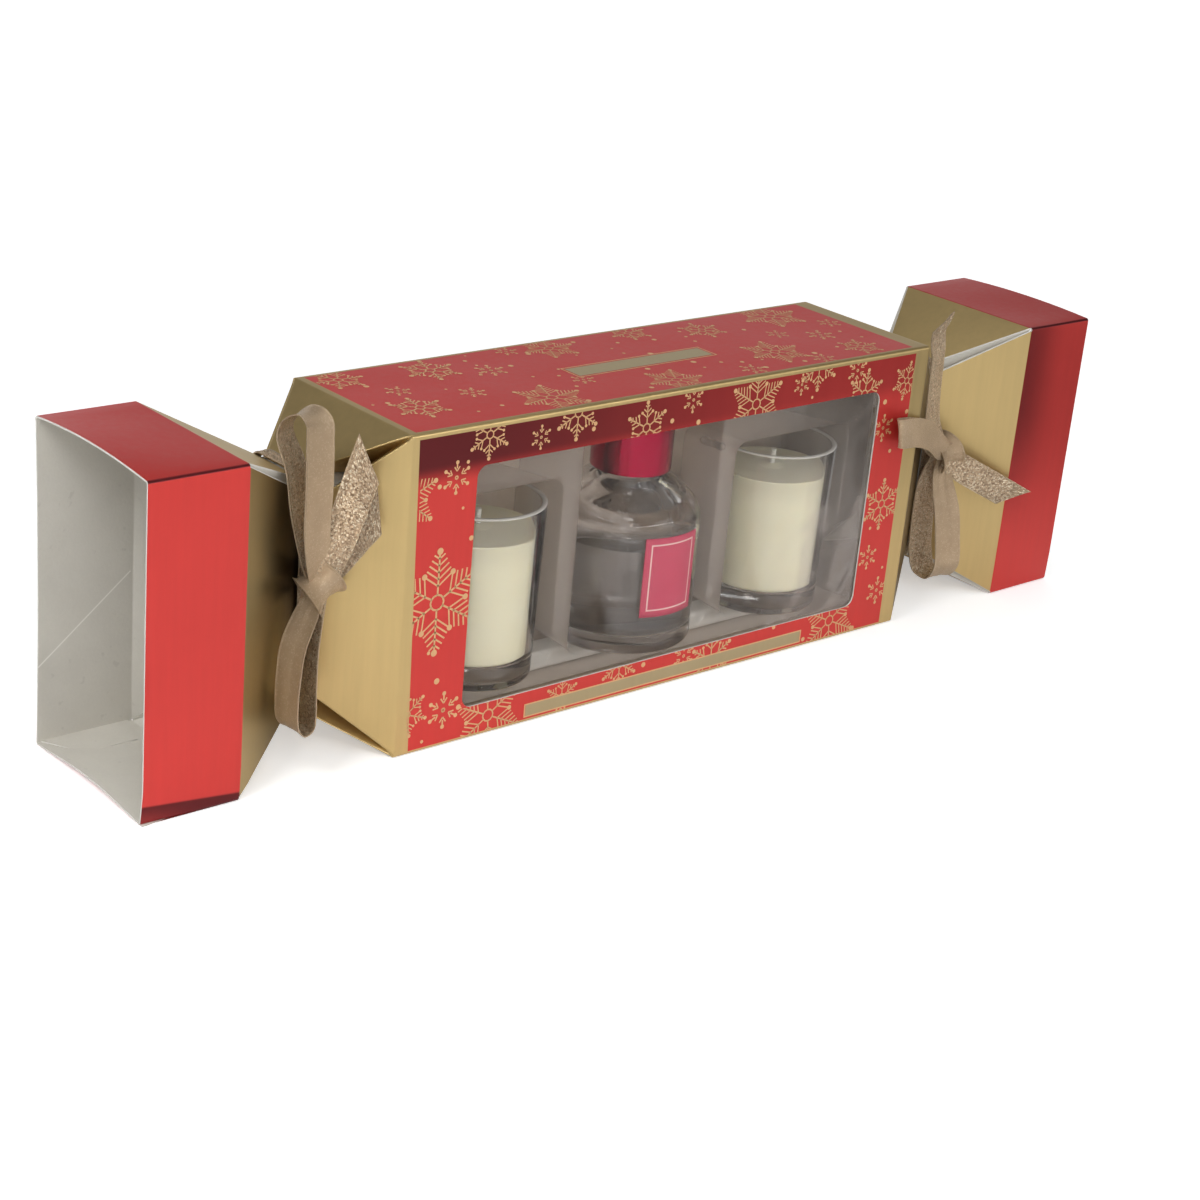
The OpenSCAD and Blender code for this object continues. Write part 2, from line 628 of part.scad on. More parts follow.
right_side_loop_shares = [
    [[-0.05, -0.24, 0.2], [0.1, 0, 0.6]], [[-0.5, -0.36, 0.55], [0.25, 0, 0.9]],
    [[-1.5, -0.76, 0.95], [0.26, 0, 0.96]], [[-2.6, -1.24, 1.35], [0.26, 0, 0.96]],
    [[-3.45, -1.44, 1.65], [0.26, 0, 0.96]], [[-3.66, -1.56, 1.72], [0.26, 0, 0.96]],
    [[-3.4, -1.68, 1.66], [0.26, 0, 0.96]], [[-2.5, -1.52, 1.35], [0.26, 0, 0.96]],
    [[-1.4, -1.08, 0.95], [0.26, 0, 0.96]], [[-0.5, -0.64, 0.55], [0.25, 0, 0.9]],
    [[-0.05, -0.42, 0.2], [0.1, 0, 0.6]]];
right_out_tail_shares = [
    [[0.05, -0.3, 0], [0.4, 0, 0.6]], [[0.7, -0.72, -0.35], [0.57, -0.07, 0.82]],
    [[1.45, -1.2, -0.8], [0.57, -0.07, 0.82]], [[2.1, -1.42, -1.25], [0.57, -0.07, 0.82]]];
// Rings of a strip between two of its points
strip_steps = 3;
// How far a tail's cut end leans, in ribbon widths
cut_share = 0.45;

// A smooth curve through four neighbours, at a share of the way from the second to the third
function smooth(a, b, c, d, t) =
    (2 * b + (c - a) * t + (2 * a - 5 * b + 4 * c - d) * t * t + (3 * b - a - 3 * c + d) * t * t * t) / 2;
function pick(list, i) = list[min(max(i, 0), len(list) - 1)];
function along(list, k) =
    let (i = floor(k / strip_steps), t = (k % strip_steps) / strip_steps)
    smooth(pick(list, i - 1), pick(list, i), pick(list, i + 1), pick(list, i + 2), t);

module strip(route, lean) {
    mids = [for (p = route) p[0] * ribbon_w];
    ways = [for (p = route) p[1]];
    last = (len(route) - 1) * strip_steps;
    rings = [for (k = [0 : last])
        let (p = along(mids, k),
            tangent = unit(along(mids, min(k + 1, last)) - along(mids, max(k - 1, 0))),
            raw = along(ways, k),
            way = unit(raw - (raw * tangent) * tangent),
            side = way * norm(raw) * ribbon_w / 2,
            out = cross(tangent, way) * ribbon_t / 2,
            ahead = k == last ? tangent * lean * ribbon_w : [0, 0, 0],
            a = p + side + ahead,
            b = p - side - ahead)
        [a + out, b + out, b - out, a - out]];
    polyhedron(
        points = [for (r = rings, p = r) p],
        faces = concat(
            [[0, 1, 2], [0, 2, 3]],
            [for (k = [0 : last - 1], j = [0 : 3], half = [0, 1])
                let (a = 4 * k + j, b = 4 * k + (j + 1) % 4)
                half == 0 ? [a, a + 4, b] : [b, a + 4, b + 4]],
            [[4 * last, 4 * last + 2, 4 * last + 1], [4 * last, 4 * last + 3, 4 * last + 2]]),
        convexity = 10);
}

// The knot is a plump barrel, a little slanted, in front of the band
knot_half_share = 1.15;
knot_end_share = 0.72;
knot_steps = 8;
knot_half = knot_r * knot_half_share;
knot_y = -(neck_y + band_top + seat_gap + knot_r);
knot_slant = 20;

module knot() {
    rotate([0, knot_slant, 0]) rotate([0, 90, 0]) translate([0, 0, -knot_half]) rotate_extrude($fn = 48)
        polygon(concat([[0, 0]],
            [for (i = [0 : knot_steps])
                [knot_r * (knot_end_share + (1 - knot_end_share) * sin(180 * i / knot_steps)),
                2 * knot_half * i / knot_steps]],
            [[0, 2 * knot_half]]));
}

module left_ribbon_band() { ribbon_band(); }
module right_ribbon_band() { mirror([1, 0, 0]) ribbon_band(); }

module left_ribbon_bow() {
    color([0.6, 0.5, 0.4])
    translate([-swing_x, knot_y, knot_z]) {
        knot();
        strip(upper_loop_shares, 0);
        strip(left_lower_loop_shares, 0);
        strip(left_front_tail_shares, -cut_share);
        strip(left_back_tail_shares, -cut_share);
    }
}

module right_ribbon_bow() {
    color([0.6, 0.5, 0.4])
    translate([swing_x, knot_y, knot_z]) {
        knot();
        strip(right_lower_loop_shares, 0);
        strip(right_side_loop_shares, 0);
        strip(right_up_tail_shares, cut_share);
        strip(right_out_tail_shares, cut_share);
    }
}

carton_sleeve();
window_film();
left_hood();
right_hood();
blister_tray();
candle_glass(left_candle_x);  // left_candle_glass
candle_wax(left_candle_x);  // left_candle_wax
candle_wick(left_candle_x);  // left_candle_wick
wick_sustainer(left_candle_x);  // left_wick_sustainer
candle_glass(right_candle_x);  // right_candle_glass
candle_wax(right_candle_x);  // right_candle_wax
candle_wick(right_candle_x);  // right_candle_wick
wick_sustainer(right_candle_x);  // right_wick_sustainer
diffuser_bottle();
perfume_oil();
bottle_stopper();
cap_seal();
cap_insert();
cap_shell();
bottle_label();
diffuser_reeds();
reed_wrap();
left_ribbon_band();
left_ribbon_bow();
right_ribbon_band();
right_ribbon_bow();
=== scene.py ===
# %% [markdown]
# # A gift carton in the shape of a christmas cracker
# The object is one long box of foil-covered board. A window in its front shows two candles
# and a reed diffuser in a clear tray. Both ends are folded in to a neck, tied with ribbon,
# and flare out again to a square hood. The solid model gives every place and size; this
# scene gives each piece its real surface. All sizes are in metres, in the solid model's frame.

# %% Load the solid model and keep its size
import contextlib
import math

import bmesh
import bpy
import numpy as np
from mathutils import Matrix, Vector


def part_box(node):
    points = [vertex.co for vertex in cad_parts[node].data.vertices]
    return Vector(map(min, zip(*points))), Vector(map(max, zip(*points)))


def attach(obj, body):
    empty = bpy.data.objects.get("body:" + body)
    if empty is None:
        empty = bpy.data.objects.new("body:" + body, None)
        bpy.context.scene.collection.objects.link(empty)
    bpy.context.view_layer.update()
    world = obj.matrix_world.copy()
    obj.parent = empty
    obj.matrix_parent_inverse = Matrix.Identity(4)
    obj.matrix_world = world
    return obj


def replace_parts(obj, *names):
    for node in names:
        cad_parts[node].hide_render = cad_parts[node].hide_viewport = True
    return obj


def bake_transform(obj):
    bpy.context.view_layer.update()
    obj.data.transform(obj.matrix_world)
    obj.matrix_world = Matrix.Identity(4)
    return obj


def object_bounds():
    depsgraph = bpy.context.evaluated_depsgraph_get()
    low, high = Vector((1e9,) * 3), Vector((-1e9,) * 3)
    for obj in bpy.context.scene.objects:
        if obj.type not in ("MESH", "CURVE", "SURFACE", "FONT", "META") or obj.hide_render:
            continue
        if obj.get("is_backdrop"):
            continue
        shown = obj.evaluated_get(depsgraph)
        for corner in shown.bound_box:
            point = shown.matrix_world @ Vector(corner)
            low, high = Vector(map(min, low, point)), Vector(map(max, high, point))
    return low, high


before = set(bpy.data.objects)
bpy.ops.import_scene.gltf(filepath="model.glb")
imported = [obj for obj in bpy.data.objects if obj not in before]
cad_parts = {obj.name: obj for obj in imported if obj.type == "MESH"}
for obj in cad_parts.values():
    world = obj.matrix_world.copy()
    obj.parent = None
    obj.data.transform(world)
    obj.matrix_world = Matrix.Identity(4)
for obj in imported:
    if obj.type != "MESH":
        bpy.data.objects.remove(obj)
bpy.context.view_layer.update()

# %% Sizes that the pieces share
MM = 0.001
sleeve_low, sleeve_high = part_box("carton_sleeve")
hood_low, hood_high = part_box("left_hood")
neck_x, hood_neck_x, mouth_x = sleeve_high.x, -hood_high.x, -hood_low.x
body_h = sleeve_high.z - sleeve_low.z
HALF_D, HALF_H = (sleeve_high.y - sleeve_low.y) / 2, body_h / 2
mid_z = HALF_H
TAPER_LENGTH, HOOD_LENGTH = 26 * MM, 34 * MM
end_x, crease_x = neck_x - TAPER_LENGTH, mouth_x - HOOD_LENGTH
neck_inset_y, neck_inset_z = 19 * MM, 16 * MM
NECK_Y, NECK_Z = HALF_D - neck_inset_y, HALF_H - neck_inset_z
TUCK_Y, TUCK_Z = 5 * MM, 8.5 * MM  # what the tucked corner takes of the neck's depth and height
board_t = 0.6 * MM
FLAP_WIDTH = 14.6 * MM
print("body ends at", round(end_x, 4), "hood crease at", round(crease_x, 4))

# %% [markdown]
# ## Camera and studio
# The camera was fitted to the box's corners: it stands in front and to the left, looks down
# by about 22 degrees, and is tilted by 5 degrees, as a hand-held photograph is.

# %% Camera
AZIMUTH, ELEVATION, ROLL = 0.739, -0.385, 0.093
CAMERA_PLACE = (-0.5390, -0.5882, 0.3432)


def new_object(name, data):
    made = bpy.data.objects.new(name, data)
    bpy.context.scene.collection.objects.link(made)
    return made


camera_data = bpy.data.cameras.new("photo_camera")
camera_data.lens, camera_data.sensor_width, camera_data.shift_x = 71.6, 36, -0.0019
camera = new_object("photo_camera", camera_data)
ahead = Vector((math.sin(AZIMUTH) * math.cos(ELEVATION),
                math.cos(AZIMUTH) * math.cos(ELEVATION), math.sin(ELEVATION)))
level = Vector((math.cos(AZIMUTH), -math.sin(AZIMUTH), 0))
upright = level.cross(ahead)
right = math.cos(ROLL) * level + math.sin(ROLL) * upright
up = math.cos(ROLL) * upright - math.sin(ROLL) * level
turned = Matrix((right, up, -ahead)).transposed().to_4x4()
camera.matrix_world = Matrix.Translation(CAMERA_PLACE) @ turned
bpy.context.scene.camera = camera
bpy.context.scene.view_settings.view_transform = "Standard"

# %% [markdown]
# ## Helpers for node trees
# A node tree is easier to read when it looks like arithmetic. A Value stands for one output
# of a node, and + - * < > and abs() on it make Math nodes in the same tree. add() makes a
# node with its settings and inputs, and put() joins a Value to a socket or sets a number.

# %% Node helpers
class Value:
    def __init__(self, socket):
        self.socket, self.tree = socket, socket.id_data

    def __add__(self, other):
        return calc("ADD", self, other)

    def __radd__(self, other):
        return calc("ADD", other, self)

    def __sub__(self, other):
        return calc("SUBTRACT", self, other)

    def __rsub__(self, other):
        return calc("SUBTRACT", other, self)

    def __mul__(self, other):
        return calc("MULTIPLY", self, other)

    def __rmul__(self, other):
        return calc("MULTIPLY", other, self)

    def __lt__(self, other):
        return calc("LESS_THAN", self, other)

    def __gt__(self, other):
        return calc("GREATER_THAN", self, other)

    def __abs__(self):
        return calc("ABSOLUTE", self)


class Node:
    """A node whose outputs are read as Values, by name or number."""
    def __init__(self, node):
        self.node = node

    def __getitem__(self, key):
        return Value(self.node.outputs[key])


def put(socket, value):
    if isinstance(value, Value):
        socket.id_data.links.new(value.socket, socket)
    else:
        socket.default_value = value


def add(tree, kind, settings=None, inputs=None):
    node = tree.nodes.new(kind)
    for name, value in (settings or {}).items():
        setattr(node, name, value)
    for name, value in (inputs or {}).items():
        put(node.inputs[name], value)
    return Node(node)


def calc(operation, *values):
    tree = next(value.tree for value in values if isinstance(value, Value))
    return add(tree, "ShaderNodeMath", {"operation": operation}, dict(enumerate(values)))[0]


def larger(first, second):
    return calc("MAXIMUM", first, second)


def smaller(first, second):
    return calc("MINIMUM", first, second)


def ramp(value, low, high, to_low=0.0, to_high=1.0):
    return add(value.tree, "ShaderNodeMapRange", {"interpolation_type": "SMOOTHSTEP"}, {
        "Value": value, "From Min": low, "From Max": high, "To Min": to_low, "To Max": to_high})[0]


def mix_colour(share, first, second):
    """Colours are Values or (red, green, blue)."""
    first, second = (c if isinstance(c, Value) else (*c, 1) for c in (first, second))
    return add(share.tree, "ShaderNodeMix", {"data_type": "RGBA"}, {0: share, 6: first, 7: second})[2]


def noise(vector, scale, detail=3, roughness=0.5):
    return add(vector.tree, "ShaderNodeTexNoise", None, {
        "Vector": vector, "Scale": scale, "Detail": detail, "Roughness": roughness})[0]


def stretched(vector, scale):
    return add(vector.tree, "ShaderNodeMapping", None, {"Vector": vector, "Scale": scale})[0]


def bump(height, distance, strength=1.0):
    return add(height.tree, "ShaderNodeBump", None, {
        "Height": height, "Distance": distance, "Strength": strength})[0]


def axes(vector):
    return add(vector.tree, "ShaderNodeSeparateXYZ", None, {0: vector})


def new_tree(kind, name, inputs, outputs):
    """A node group. A socket is given by its start value, or by its type's name where it has none."""
    tree = bpy.data.node_groups.new(name, kind)
    for way, sockets in (("INPUT", inputs), ("OUTPUT", outputs)):
        for label, start in sockets.items():
            bare = isinstance(start, str)
            socket_type = "NodeSocket" + (start if bare else type(start).__name__.title())
            socket = tree.interface.new_socket(label, in_out=way, socket_type=socket_type)
            if not bare:
                socket.default_value = start
    return tree, Node(tree.nodes.new("NodeGroupInput")), tree.nodes.new("NodeGroupOutput").inputs


def use_group(group, vector, **values):
    return add(vector.tree, "ShaderNodeGroup", {"node_tree": group}, {"Vector": vector, **values})


def wire(shader, **sockets):
    """A keyword such as coat_weight stands for the socket Coat Weight."""
    for key, value in sockets.items():
        put(shader.inputs[key.replace("_", " ").title().replace("Ior", "IOR")], value)


def new_material(name, base, **sockets):
    material = bpy.data.materials.new(name)
    material.use_nodes = True
    shader = material.node_tree.nodes["Principled BSDF"]
    wire(shader, base_color=(*base, 1), **sockets)
    return material, material.node_tree, shader


def object_place(tree):
    return add(tree, "ShaderNodeTexCoord")["Object"]


# %% [markdown]
# The floor is a pale sheet. For the camera it glows a little, so that it reads as
# near white and still keeps the carton's soft shadow. In reflections it is painted darker far
# from the carton and to its right, as painted shade.

# %% Floor, world and lamps
def area_lamp(name, place, aim, size, power):
    data = bpy.data.lights.new(name, "AREA")
    data.shape, data.size, data.size_y, data.energy = "RECTANGLE", *size, power
    lamp = new_object(name, data)
    lamp.location = place
    lamp.rotation_euler = (Vector(aim) - Vector(place)).to_track_quat("-Z", "Y").to_euler()
    return lamp


floor_mesh = bpy.data.meshes.new("studio_floor")
floor_mesh.from_pydata([(-4, -4, 0), (4, -4, 0), (4, 4, 0), (-4, 4, 0)], [], [(0, 1, 2, 3)])
floor = new_object("studio_floor", floor_mesh)
floor.location.z = -0.0002
floor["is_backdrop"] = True
floor_material, tree, shader = new_material(
    "pale_floor", (0.86, 0.86, 0.86), roughness=0.9, specular_ior_level=0.1, emission_color=(1, 1, 1, 1))
path = add(tree, "ShaderNodeLightPath")
place = axes(object_place(tree))
away = calc("SQRT", place["X"] * place["X"] + place["Y"] * place["Y"])
toward_right = place["X"] - place["Y"] * 0.3
# Painted shade: for glossy rays the floor's colour darkens far off and to the right.
painted_floor_shade = path["Is Glossy Ray"] * larger(
    ramp(toward_right, 0.20, 0.44, 0.0, 0.85), ramp(away, 0.42, 0.9, 0.0, 0.8))
wire(shader, emission_strength=path["Is Camera Ray"] * ramp(away, 0.3, 1.6, 0.40, 0.75),
     base_color=mix_colour(painted_floor_shade, (0.88, 0.88, 0.88), (0.2, 0.2, 0.2)))
floor_mesh.materials.append(floor_material)

world = bpy.data.worlds.new("studio")
bpy.context.scene.world = world
world.use_nodes = True
tree = world.node_tree
tree.nodes.clear()
path = add(tree, "ShaderNodeLightPath")
direction = axes(add(tree, "ShaderNodeTexCoord")["Generated"])
overhead = ramp(direction["Z"], 0.05, 0.45, 0.9, 0.10)
seen = larger(path["Is Camera Ray"], path["Is Transmission Ray"])
backdrop = smaller(seen + path["Is Glossy Ray"] * overhead, 1.0)
strength = larger(backdrop, 0.54 - path["Is Glossy Ray"] * 0.44)
background = add(tree, "ShaderNodeBackground", None, {"Color": (1, 1, 1, 1), "Strength": strength})
add(tree, "ShaderNodeOutputWorld", None, {"Surface": background[0]})
area_lamp("key", (-0.9, -1.35, 0.6), (0, 0, 0.06), (0.9, 0.7), 3.3)
area_lamp("fill", (0.7, -1.5, 0.6), (0.1, 0, 0.06), (0.9, 0.7), 3.4)
steep = area_lamp("steep_left", (-0.62, -0.16, 0.62), (-0.2, 0, 0.03), (0.25, 0.25), 0.30)
steep.data.spread = math.radians(60)
area_lamp("glint", (-0.6, -0.8, 0.95), (0, 0, 0.06), (0.3, 0.22), 1.7)
area_lamp("strip", (0.1, -1.0, 0.42), (0, 0, 0.06), (1.2, 0.03), 1.3)
area_lamp("back_soft", (0.3, 0.5, 1.4), (0, 0, 0.05), (1.0, 0.6), 1.6)
area_lamp("front_soft", (0.2, -0.7, 1.3), (0, 0, 0.05), (1.0, 0.6), 0.9)


# %% [markdown]
# ## Mesh helpers
# Most pieces here are a row of rings joined by quads: the board is a loft along the box, the
# glasses are profiles turned round an axis, and a ribbon is a flat ring swept along a route.

# %% Mesh helpers
@contextlib.contextmanager
def edited(mesh):
    """The mesh as a bmesh, written back at the end."""
    shape = bmesh.new()
    shape.from_mesh(mesh)
    yield shape
    shape.to_mesh(mesh)
    shape.free()


def new_piece(name, verts, faces, materials, slots=None):
    mesh = bpy.data.meshes.new(name)
    mesh.from_pydata([tuple(v) for v in verts], [], [tuple(f) for f in faces])
    for material in materials:
        mesh.materials.append(material)
    if slots is not None:
        mesh.polygons.foreach_set("material_index", slots)
    mesh.polygons.foreach_set("use_smooth", [True] * len(mesh.polygons))
    return new_object(name, mesh)


def sharpened(piece, degrees):
    piece.data.set_sharp_from_angle(angle=math.radians(degrees))
    return piece


def tidy_mesh(piece, merge=1e-6, outward=True):
    with edited(piece.data) as shape:
        bmesh.ops.remove_doubles(shape, verts=shape.verts, dist=merge)
        if outward:
            bmesh.ops.recalc_face_normals(shape, faces=shape.faces)
    return piece


def set_uv(piece, name, uvs):
    layer = piece.data.uv_layers.new(name=name)
    layer.data.foreach_set("uv", [c for loop in piece.data.loops for c in uvs[loop.vertex_index]])


def made_plain(piece):
    """Turns what the modifiers make into the piece's own mesh."""
    bpy.context.view_layer.update()
    evaluated = piece.evaluated_get(bpy.context.evaluated_depsgraph_get())
    mesh = bpy.data.meshes.new_from_object(evaluated)
    piece.modifiers.clear()
    piece.data = mesh
    return piece


def modified(piece, kind, **settings):
    modifier = piece.modifiers.new(kind.lower(), kind)
    for name, value in settings.items():
        setattr(modifier, name, value)
    return made_plain(piece)


def joined(name, parts):
    """One mesh from several that have the same material slots."""
    shape = bmesh.new()
    for part in parts:
        shape.from_mesh(part.data)
    mesh = bpy.data.meshes.new(name)
    shape.to_mesh(mesh)
    shape.free()
    for material in parts[0].data.materials:
        mesh.materials.append(material)
    for part in parts:
        bpy.data.objects.remove(part)
    return new_object(name, mesh)


def ring_faces(rows, columns, closed=True, start=0):
    """Quads between rows of points; closed joins the last column to the first."""
    last = columns if closed else columns - 1
    return [tuple(start + i for i in (r * columns + c, r * columns + (c + 1) % columns,
                                      (r + 1) * columns + (c + 1) % columns, (r + 1) * columns + c))
            for r in range(rows - 1) for c in range(last)]


def unit(vector):
    return vector / np.linalg.norm(vector)


def bend(start, tip, end, t):
    """A point of the curve that leaves start toward tip and arrives at end."""
    return (1 - t) ** 2 * start + 2 * t * (1 - t) * tip + t * t * end


# %% [markdown]
# ## Foil board
# The carton is folding board with a foil face. The foil is one skin, printed red over gold, so
# one material carries both colours and a mask says where the print ends; more masks paint shade
# into both. Inside, the board is bare: pale grey with fine fibres, and its cut edges are whiter.
# Inside the sleeve it is painted a warmer brown as painted warm light, and darker toward the necks
# as painted shade.

# %% Fibre and foil effects
fibre_group, given, out = new_tree(
    "ShaderNodeTree", "paper_fibre", {"Vector": "Vector", "Scale": 1.0}, {"Tint": "Float", "Height": "Float"})
fine = noise(given["Vector"], given["Scale"] * 900.0, 4, 0.6)
mottle = noise(given["Vector"], given["Scale"] * 45.0, 3, 0.55)
fleck = ramp(noise(given["Vector"], given["Scale"] * 260.0, 2), 0.68, 0.76)
put(out["Tint"], mottle * 0.7 + fine * 0.3 - fleck * 0.35)
put(out["Height"], fine)

foil_group, given, out = new_tree(
    "ShaderNodeTree", "foil_skin", {"Vector": "Vector", "Brush": 1.0},
    {"Roughness": "Float", "Height": "Float", "Shade": "Float"})
streaks = noise(stretched(given["Vector"], (420, 420, 26)), 1.0, 3, 0.6)
cloud = noise(given["Vector"], 22.0, 3, 0.55)
dents = noise(given["Vector"], 130.0, 2, 0.5)
wave = noise(stretched(given["Vector"], (14, 20, 9)), 1.0, 1, 0.4)
put(out["Roughness"], 0.24 + (streaks * given["Brush"] * 0.14 + cloud * 0.12))
put(out["Height"], wave + dents * 0.035 + streaks * 0.006)
put(out["Shade"], cloud * 0.45 + streaks * given["Brush"] * 0.55)

# %% Where the red print ends
RED_LEFT, RED_RIGHT = -113.4 * MM, 110.6 * MM
RED_LOW, RED_HIGH = 1.2 * MM, 108.2 * MM
RED_DEPTH = 30.8 * MM
SKEW = 0.024

red_field, given, out = new_tree(
    "ShaderNodeTree", "red_field", {"Vector": "Vector", "Soft": 0.00012}, {"Mask": "Float"})
place = axes(given["Vector"])
from_left = place["X"] - ((body_h - place["Z"]) * SKEW + (RED_LEFT - 1.3 * MM))
from_ends = smaller(from_left, RED_RIGHT - place["X"])
on_front = smaller(place["Z"] - RED_LOW, RED_HIGH - place["Z"])
inside = smaller(from_ends, larger(on_front, RED_DEPTH - abs(place["Y"])))
put(out["Mask"], ramp(inside, given["Soft"] * -1.0, given["Soft"]))

# %% Foil, bare board and cut edge materials
GOLD, RED = (0.64, 0.47, 0.21), (0.64, 0.046, 0.038)
# Painted shade: the darker red and gold that shaded foil is mixed toward.
PAINTED_SHADE_RED, PAINTED_SHADE_GOLD = (0.08, 0.002, 0.004), (0.05, 0.028, 0.009)


def tinted(colour, factor):
    return tuple(c * factor for c in colour)


def foil_material(name, red_share, shade, painted_gold_shade):
    """red_share(place) masks the red print; the other two are painted shade: how much darker the red and the
    gold are painted.
    """
    material, tree, shader = new_material(name, GOLD, metallic=0.72, specular_ior_level=0.5)
    place = object_place(tree)
    at = axes(place)
    skin = use_group(foil_group, place, Brush=1.0)
    red = red_share(place)
    gold_foil = mix_colour(skin["Shade"], tinted(GOLD, 0.84), tinted(GOLD, 1.12))
    red_foil = mix_colour(skin["Shade"], tinted(RED, 0.86), tinted(RED, 1.1))
    # Painted shade: the gold and the red are darkened where the two masks say.
    gold_foil = mix_colour(painted_gold_shade(at), gold_foil, PAINTED_SHADE_GOLD)
    red_foil = mix_colour(shade(at), red_foil, PAINTED_SHADE_RED)
    wire(shader, base_color=mix_colour(red, gold_foil, red_foil), roughness=skin["Roughness"],
         metallic=0.86 - red * 0.36, normal=bump(skin["Height"], 0.0016, 0.5))
    return material


def over_window(at):
    """Painted shade on the strip over the window: it is darker, most of all at the left."""
    front = ramp(at["Y"], -HALF_D + 0.1 * MM, -HALF_D + 0.5 * MM, 1.0, 0.0)
    return front * ramp(at["Z"], 91 * MM, 99 * MM) * ramp(at["X"], -104 * MM, 100 * MM, 0.95, 0.4)


def front_panel(at, x0, x1):
    """1 on the front panel, which leans in by the neck's depth between x0 and x1 from the middle."""
    plane = (abs(at["X"]) - x0) * (neck_inset_y / (x1 - x0)) - HALF_D
    return ramp(at["Y"] - plane, 0.4 * MM, 1.6 * MM, 1.0, 0.0)


def right_taper(at):
    """Painted shade on the front panel of the right taper, which turns away from the light."""
    return front_panel(at, end_x, neck_x) * ramp(at["X"], end_x - 1 * MM, end_x + 2.5 * MM, 0.0, 0.75)


def left_flare(at):
    """Painted shade and reflection on the left flare's front panel, for the shaded neck it mirrors: dark at
    the ribbon, most of all high up.
    """
    near_neck = ramp(abs(at["X"]), hood_neck_x + 6 * MM, crease_x - 0.8 * MM, 1.0, 0.46)
    dark = near_neck * ramp(at["Z"], 8 * MM, 70 * MM, 0.66, 1.0)
    return front_panel(at, crease_x, hood_neck_x) * dark * (at["X"] < 0.0)


def hood_edges(at):
    """Painted shade on a hood: darker at its top front edge and a little over its top, the left one on its
    curled lower edge, the right one near its crease.
    """
    front = ramp(at["Y"], -HALF_D + 0.3 * MM, -HALF_D + 1.6 * MM, 1.0, 0.0)
    top_edge = front * ramp(at["Z"], body_h - 0.9 * MM, body_h - 0.5 * MM)
    reach = 2.8 * MM + (abs(at["X"]) - crease_x) * 0.10
    low_edge = ramp(at["Z"] - reach, -0.3 * MM, 0.6 * MM, 0.95, 0.0) * (at["X"] < 0.0)
    near_crease = ramp(at["X"], crease_x, crease_x + 24 * MM, 0.75, 0.2) * ramp(at["Z"], 0.02, 0.08)
    dark = larger(larger(top_edge, low_edge), near_crease * (at["X"] > 0.0))
    facing = ramp(at["Y"], -HALF_D + 0.5 * MM, -HALF_D + 2.5 * MM, 1.0, 0.0)
    return larger(dark * facing, ramp(at["Z"], body_h - 0.5 * MM, body_h - 0.2 * MM) * 0.18)


def beyond_crease(place):
    return ramp(abs(axes(place)["X"]), crease_x - 0.35 * MM, crease_x - 0.1 * MM)


def score_line(at, x0, z0, x1, z1):
    """A pressed line on the back wall's inner face, from (x0, z0) to (x1, z1)."""
    length = math.hypot(x1 - x0, z1 - z0)
    dx, dz = (x1 - x0) / length, (z1 - z0) / length
    off = (at["X"] - x0) * dz - (at["Z"] - z0) * dx
    run = (at["X"] - x0) * dx + (at["Z"] - z0) * dz
    line = ramp(abs(off), 0.12 * MM, 0.35 * MM, 1.0, 0.0)
    return line * (abs(run - length / 2) < length / 2) * (at["Y"] > HALF_D - 2 * MM)


def board_material(name, dark, light, fibre_scale=1.0, scored=False, painted_neck_shade=False):
    material, tree, shader = new_material(name, dark, roughness=0.82, specular_ior_level=0.25)
    place = object_place(tree)
    fibre = use_group(fibre_group, place, Scale=fibre_scale)
    colour = mix_colour(fibre["Tint"], dark, light)
    if scored:
        score = score_line(axes(place), -212 * MM, 25.5 * MM, -177 * MM, 53.5 * MM)
        colour = mix_colour(score * 0.55, colour, (0.9, 0.88, 0.82))
    if painted_neck_shade:
        # Painted shade: the inside darkens toward the necks.
        neck_shade = ramp(abs(axes(place)["X"]), end_x - 16 * MM, end_x + 3 * MM, 0.0, 0.8)
        colour = mix_colour(neck_shade, colour, (0.10, 0.085, 0.07))
    wire(shader, base_color=colour, normal=bump(fibre["Height"], 0.00012, 0.5))
    return material


foil_sleeve = foil_material(
    "foil_sleeve", lambda place: use_group(red_field, place)["Mask"], over_window, right_taper)
foil_hood = foil_material("foil_hood", beyond_crease, hood_edges, left_flare)
bare_board = board_material("bare_board", (0.50, 0.475, 0.425), (0.66, 0.635, 0.57), scored=True)
cut_edge = board_material("cut_edge", (0.58, 0.56, 0.52), (0.72, 0.70, 0.66))
# Painted warm light: the sleeve's inside is a browner, brighter copy of the bare board.
painted_warm_inside_board = board_material("painted_warm_inside_board", (0.59, 0.47, 0.355), (0.76, 0.61, 0.46), painted_neck_shade=True)
# The outer face keeps its slot; the thickness modifier adds 1 for the inside and 2 for the edge.
SLEEVE_SKINS = [foil_sleeve, painted_warm_inside_board, cut_edge]
HOOD_SKINS = [foil_hood, bare_board, cut_edge]

# %% [markdown]
# ## The sleeve and its folded necks
# A board box can't be squeezed to a neck without a fold: between the front and the top panel a
# gusset of two leaves tucks in. The leaves only lie flat again if the angles at the corner add
# up to 180 degrees, so that sum gives the ridge's direction, as in the solid model. The whole
# neck is then one loft: each ring runs along a panel, in to the ridge, out again, and on.

# %% The gusset's ridge
ROLL_R = 0.9 * MM
CORNERS = [(-1, -1), (-1, 1), (1, -1), (1, 1)]


